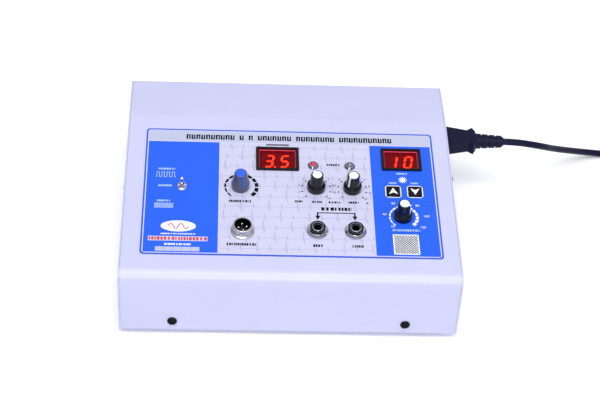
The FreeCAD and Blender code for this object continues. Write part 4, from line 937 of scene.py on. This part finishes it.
def make_glints():
    """Painted highlights on the edges of each window, at the rim of its filter: pink above, red at the
    sides.
    """
    pink, red = [], []
    for u, v, wide, tall in DISPLAYS.values():
        left, right = u - wide / 2 + GLINT_INSET, u + wide / 2 - GLINT_INSET
        low, high = v - tall / 2 + GLINT_INSET, v + tall / 2 - GLINT_INSET
        pink.append([rect(left, high - GLINT_TOP, right, high)])
        red += [[rect(right - GLINT_RIGHT, low, right, high - GLINT_END)],
                [rect(left, low, left + GLINT_LEFT, high - GLINT_END)]]
    print_piece("display_glint_pink", pink, GLINT_LAYER, GLINT_PINK)
    print_piece("display_glint_red", red, GLINT_LAYER, GLINT_RED)


def light_lamps():
    """The first channel's lamp is lit; the second is clear."""
    lamps = frame["nodes"]["channel_leds"]
    lamps.data.materials.append(LAMP_RED)
    middle = sum(spot[0] for spot in LAMP_SPOTS) / 2 * MM
    for face in lamps.data.polygons:
        face.material_index = 1 if face.center.x < middle else 0


paint_nodes()
make_fields()
make_traces()
make_black_marks()
make_white_marks()
make_captions()
make_badge()
make_key_arrows()
make_digits("power_display", "3.5")
make_digits("timer_display", "10")
make_glints()
light_lamps()

# ---------------------------------------------------------------- floor and light
FLOOR_SIDE, FLOOR_GLOW = 12, 0.18
SKY_STRENGTH = 0.76


def make_floor():
    """A wide white floor that glows a little, as a bright studio table does."""
    bpy.ops.mesh.primitive_plane_add(size=FLOOR_SIDE)
    floor = bpy.context.object
    floor.name = "floor"
    cloth = finish("studio_floor", colour(250, 250, 252), 0.6, grain=60, bump=0.0, mottle=0.005)
    shader = cloth.node_tree.nodes["Principled BSDF"]
    shader.inputs["Emission Color"].default_value = (1, 1, 1, 1)
    shader.inputs["Emission Strength"].default_value = FLOOR_GLOW
    floor.data.materials.append(cloth)


def make_light(name, place, size, power, target=(0, 0, 0.05)):
    """A rectangular lamp at a place, turned to the target; sizes in metres, power in watts."""
    data = bpy.data.lights.new(name, "AREA")
    data.shape = "RECTANGLE"
    data.size, data.size_y = size
    data.energy = power
    lamp = bpy.data.objects.new(name, data)
    lamp.location = place
    lamp.rotation_mode = "QUATERNION"
    lamp.rotation_quaternion = (Vector(target) - Vector(place)).to_track_quat("-Z", "Y")
    scene.collection.objects.link(lamp)
    return lamp


# Brightness of the surroundings at the sine of each height over the horizon, and their colour.
SKY_BANDS = ((0.0, 0.6), (0.34, 0.6), (0.46, 0.12), (0.74, 0.12), (0.86, 1.0))
SKY_TINT = (0.93, 0.94, 1.0)


def make_sky():
    """Even surroundings with one dark band, which gives polished metal its contrast."""
    world = bpy.data.worlds.new("studio")
    world.use_nodes = True
    tree = world.node_tree
    place = node(tree, "ShaderNodeTexCoord")
    split = node(tree, "ShaderNodeSeparateXYZ")
    ramp = node(tree, "ShaderNodeValToRGB")
    tree.links.new(place.outputs["Generated"], split.inputs["Vector"])
    tree.links.new(split.outputs["Z"], ramp.inputs["Fac"])
    stops = ramp.color_ramp.elements
    while len(stops) < len(SKY_BANDS):
        stops.new(0.5)
    for stop, (height, shade) in zip(stops, SKY_BANDS):
        stop.position = height
        stop.color = (*(channel * shade for channel in SKY_TINT), 1)
    sky = tree.nodes["Background"]
    tree.links.new(ramp.outputs["Color"], sky.inputs["Color"])
    sky.inputs["Strength"].default_value = SKY_STRENGTH
    scene.world = world


def make_studio():
    """Surroundings and lamps; the flash only shows in what shines."""
    make_sky()
    make_light("key", (-0.15, -0.85, 1.85), (1.8, 1.0), 31)
    make_light("side", (1.3, -0.5, 1.1), (1.0, 1.0), 5)
    make_light("back", (0.1, 1.2, 1.4), (1.6, 0.8), 3.5)
    flash = make_light("flash", (0.05, -1.09, 0.66), (0.7, 0.12), 7)
    flash.visible_diffuse = False
    scene.view_settings.view_transform = "Standard"


make_floor()
make_studio()
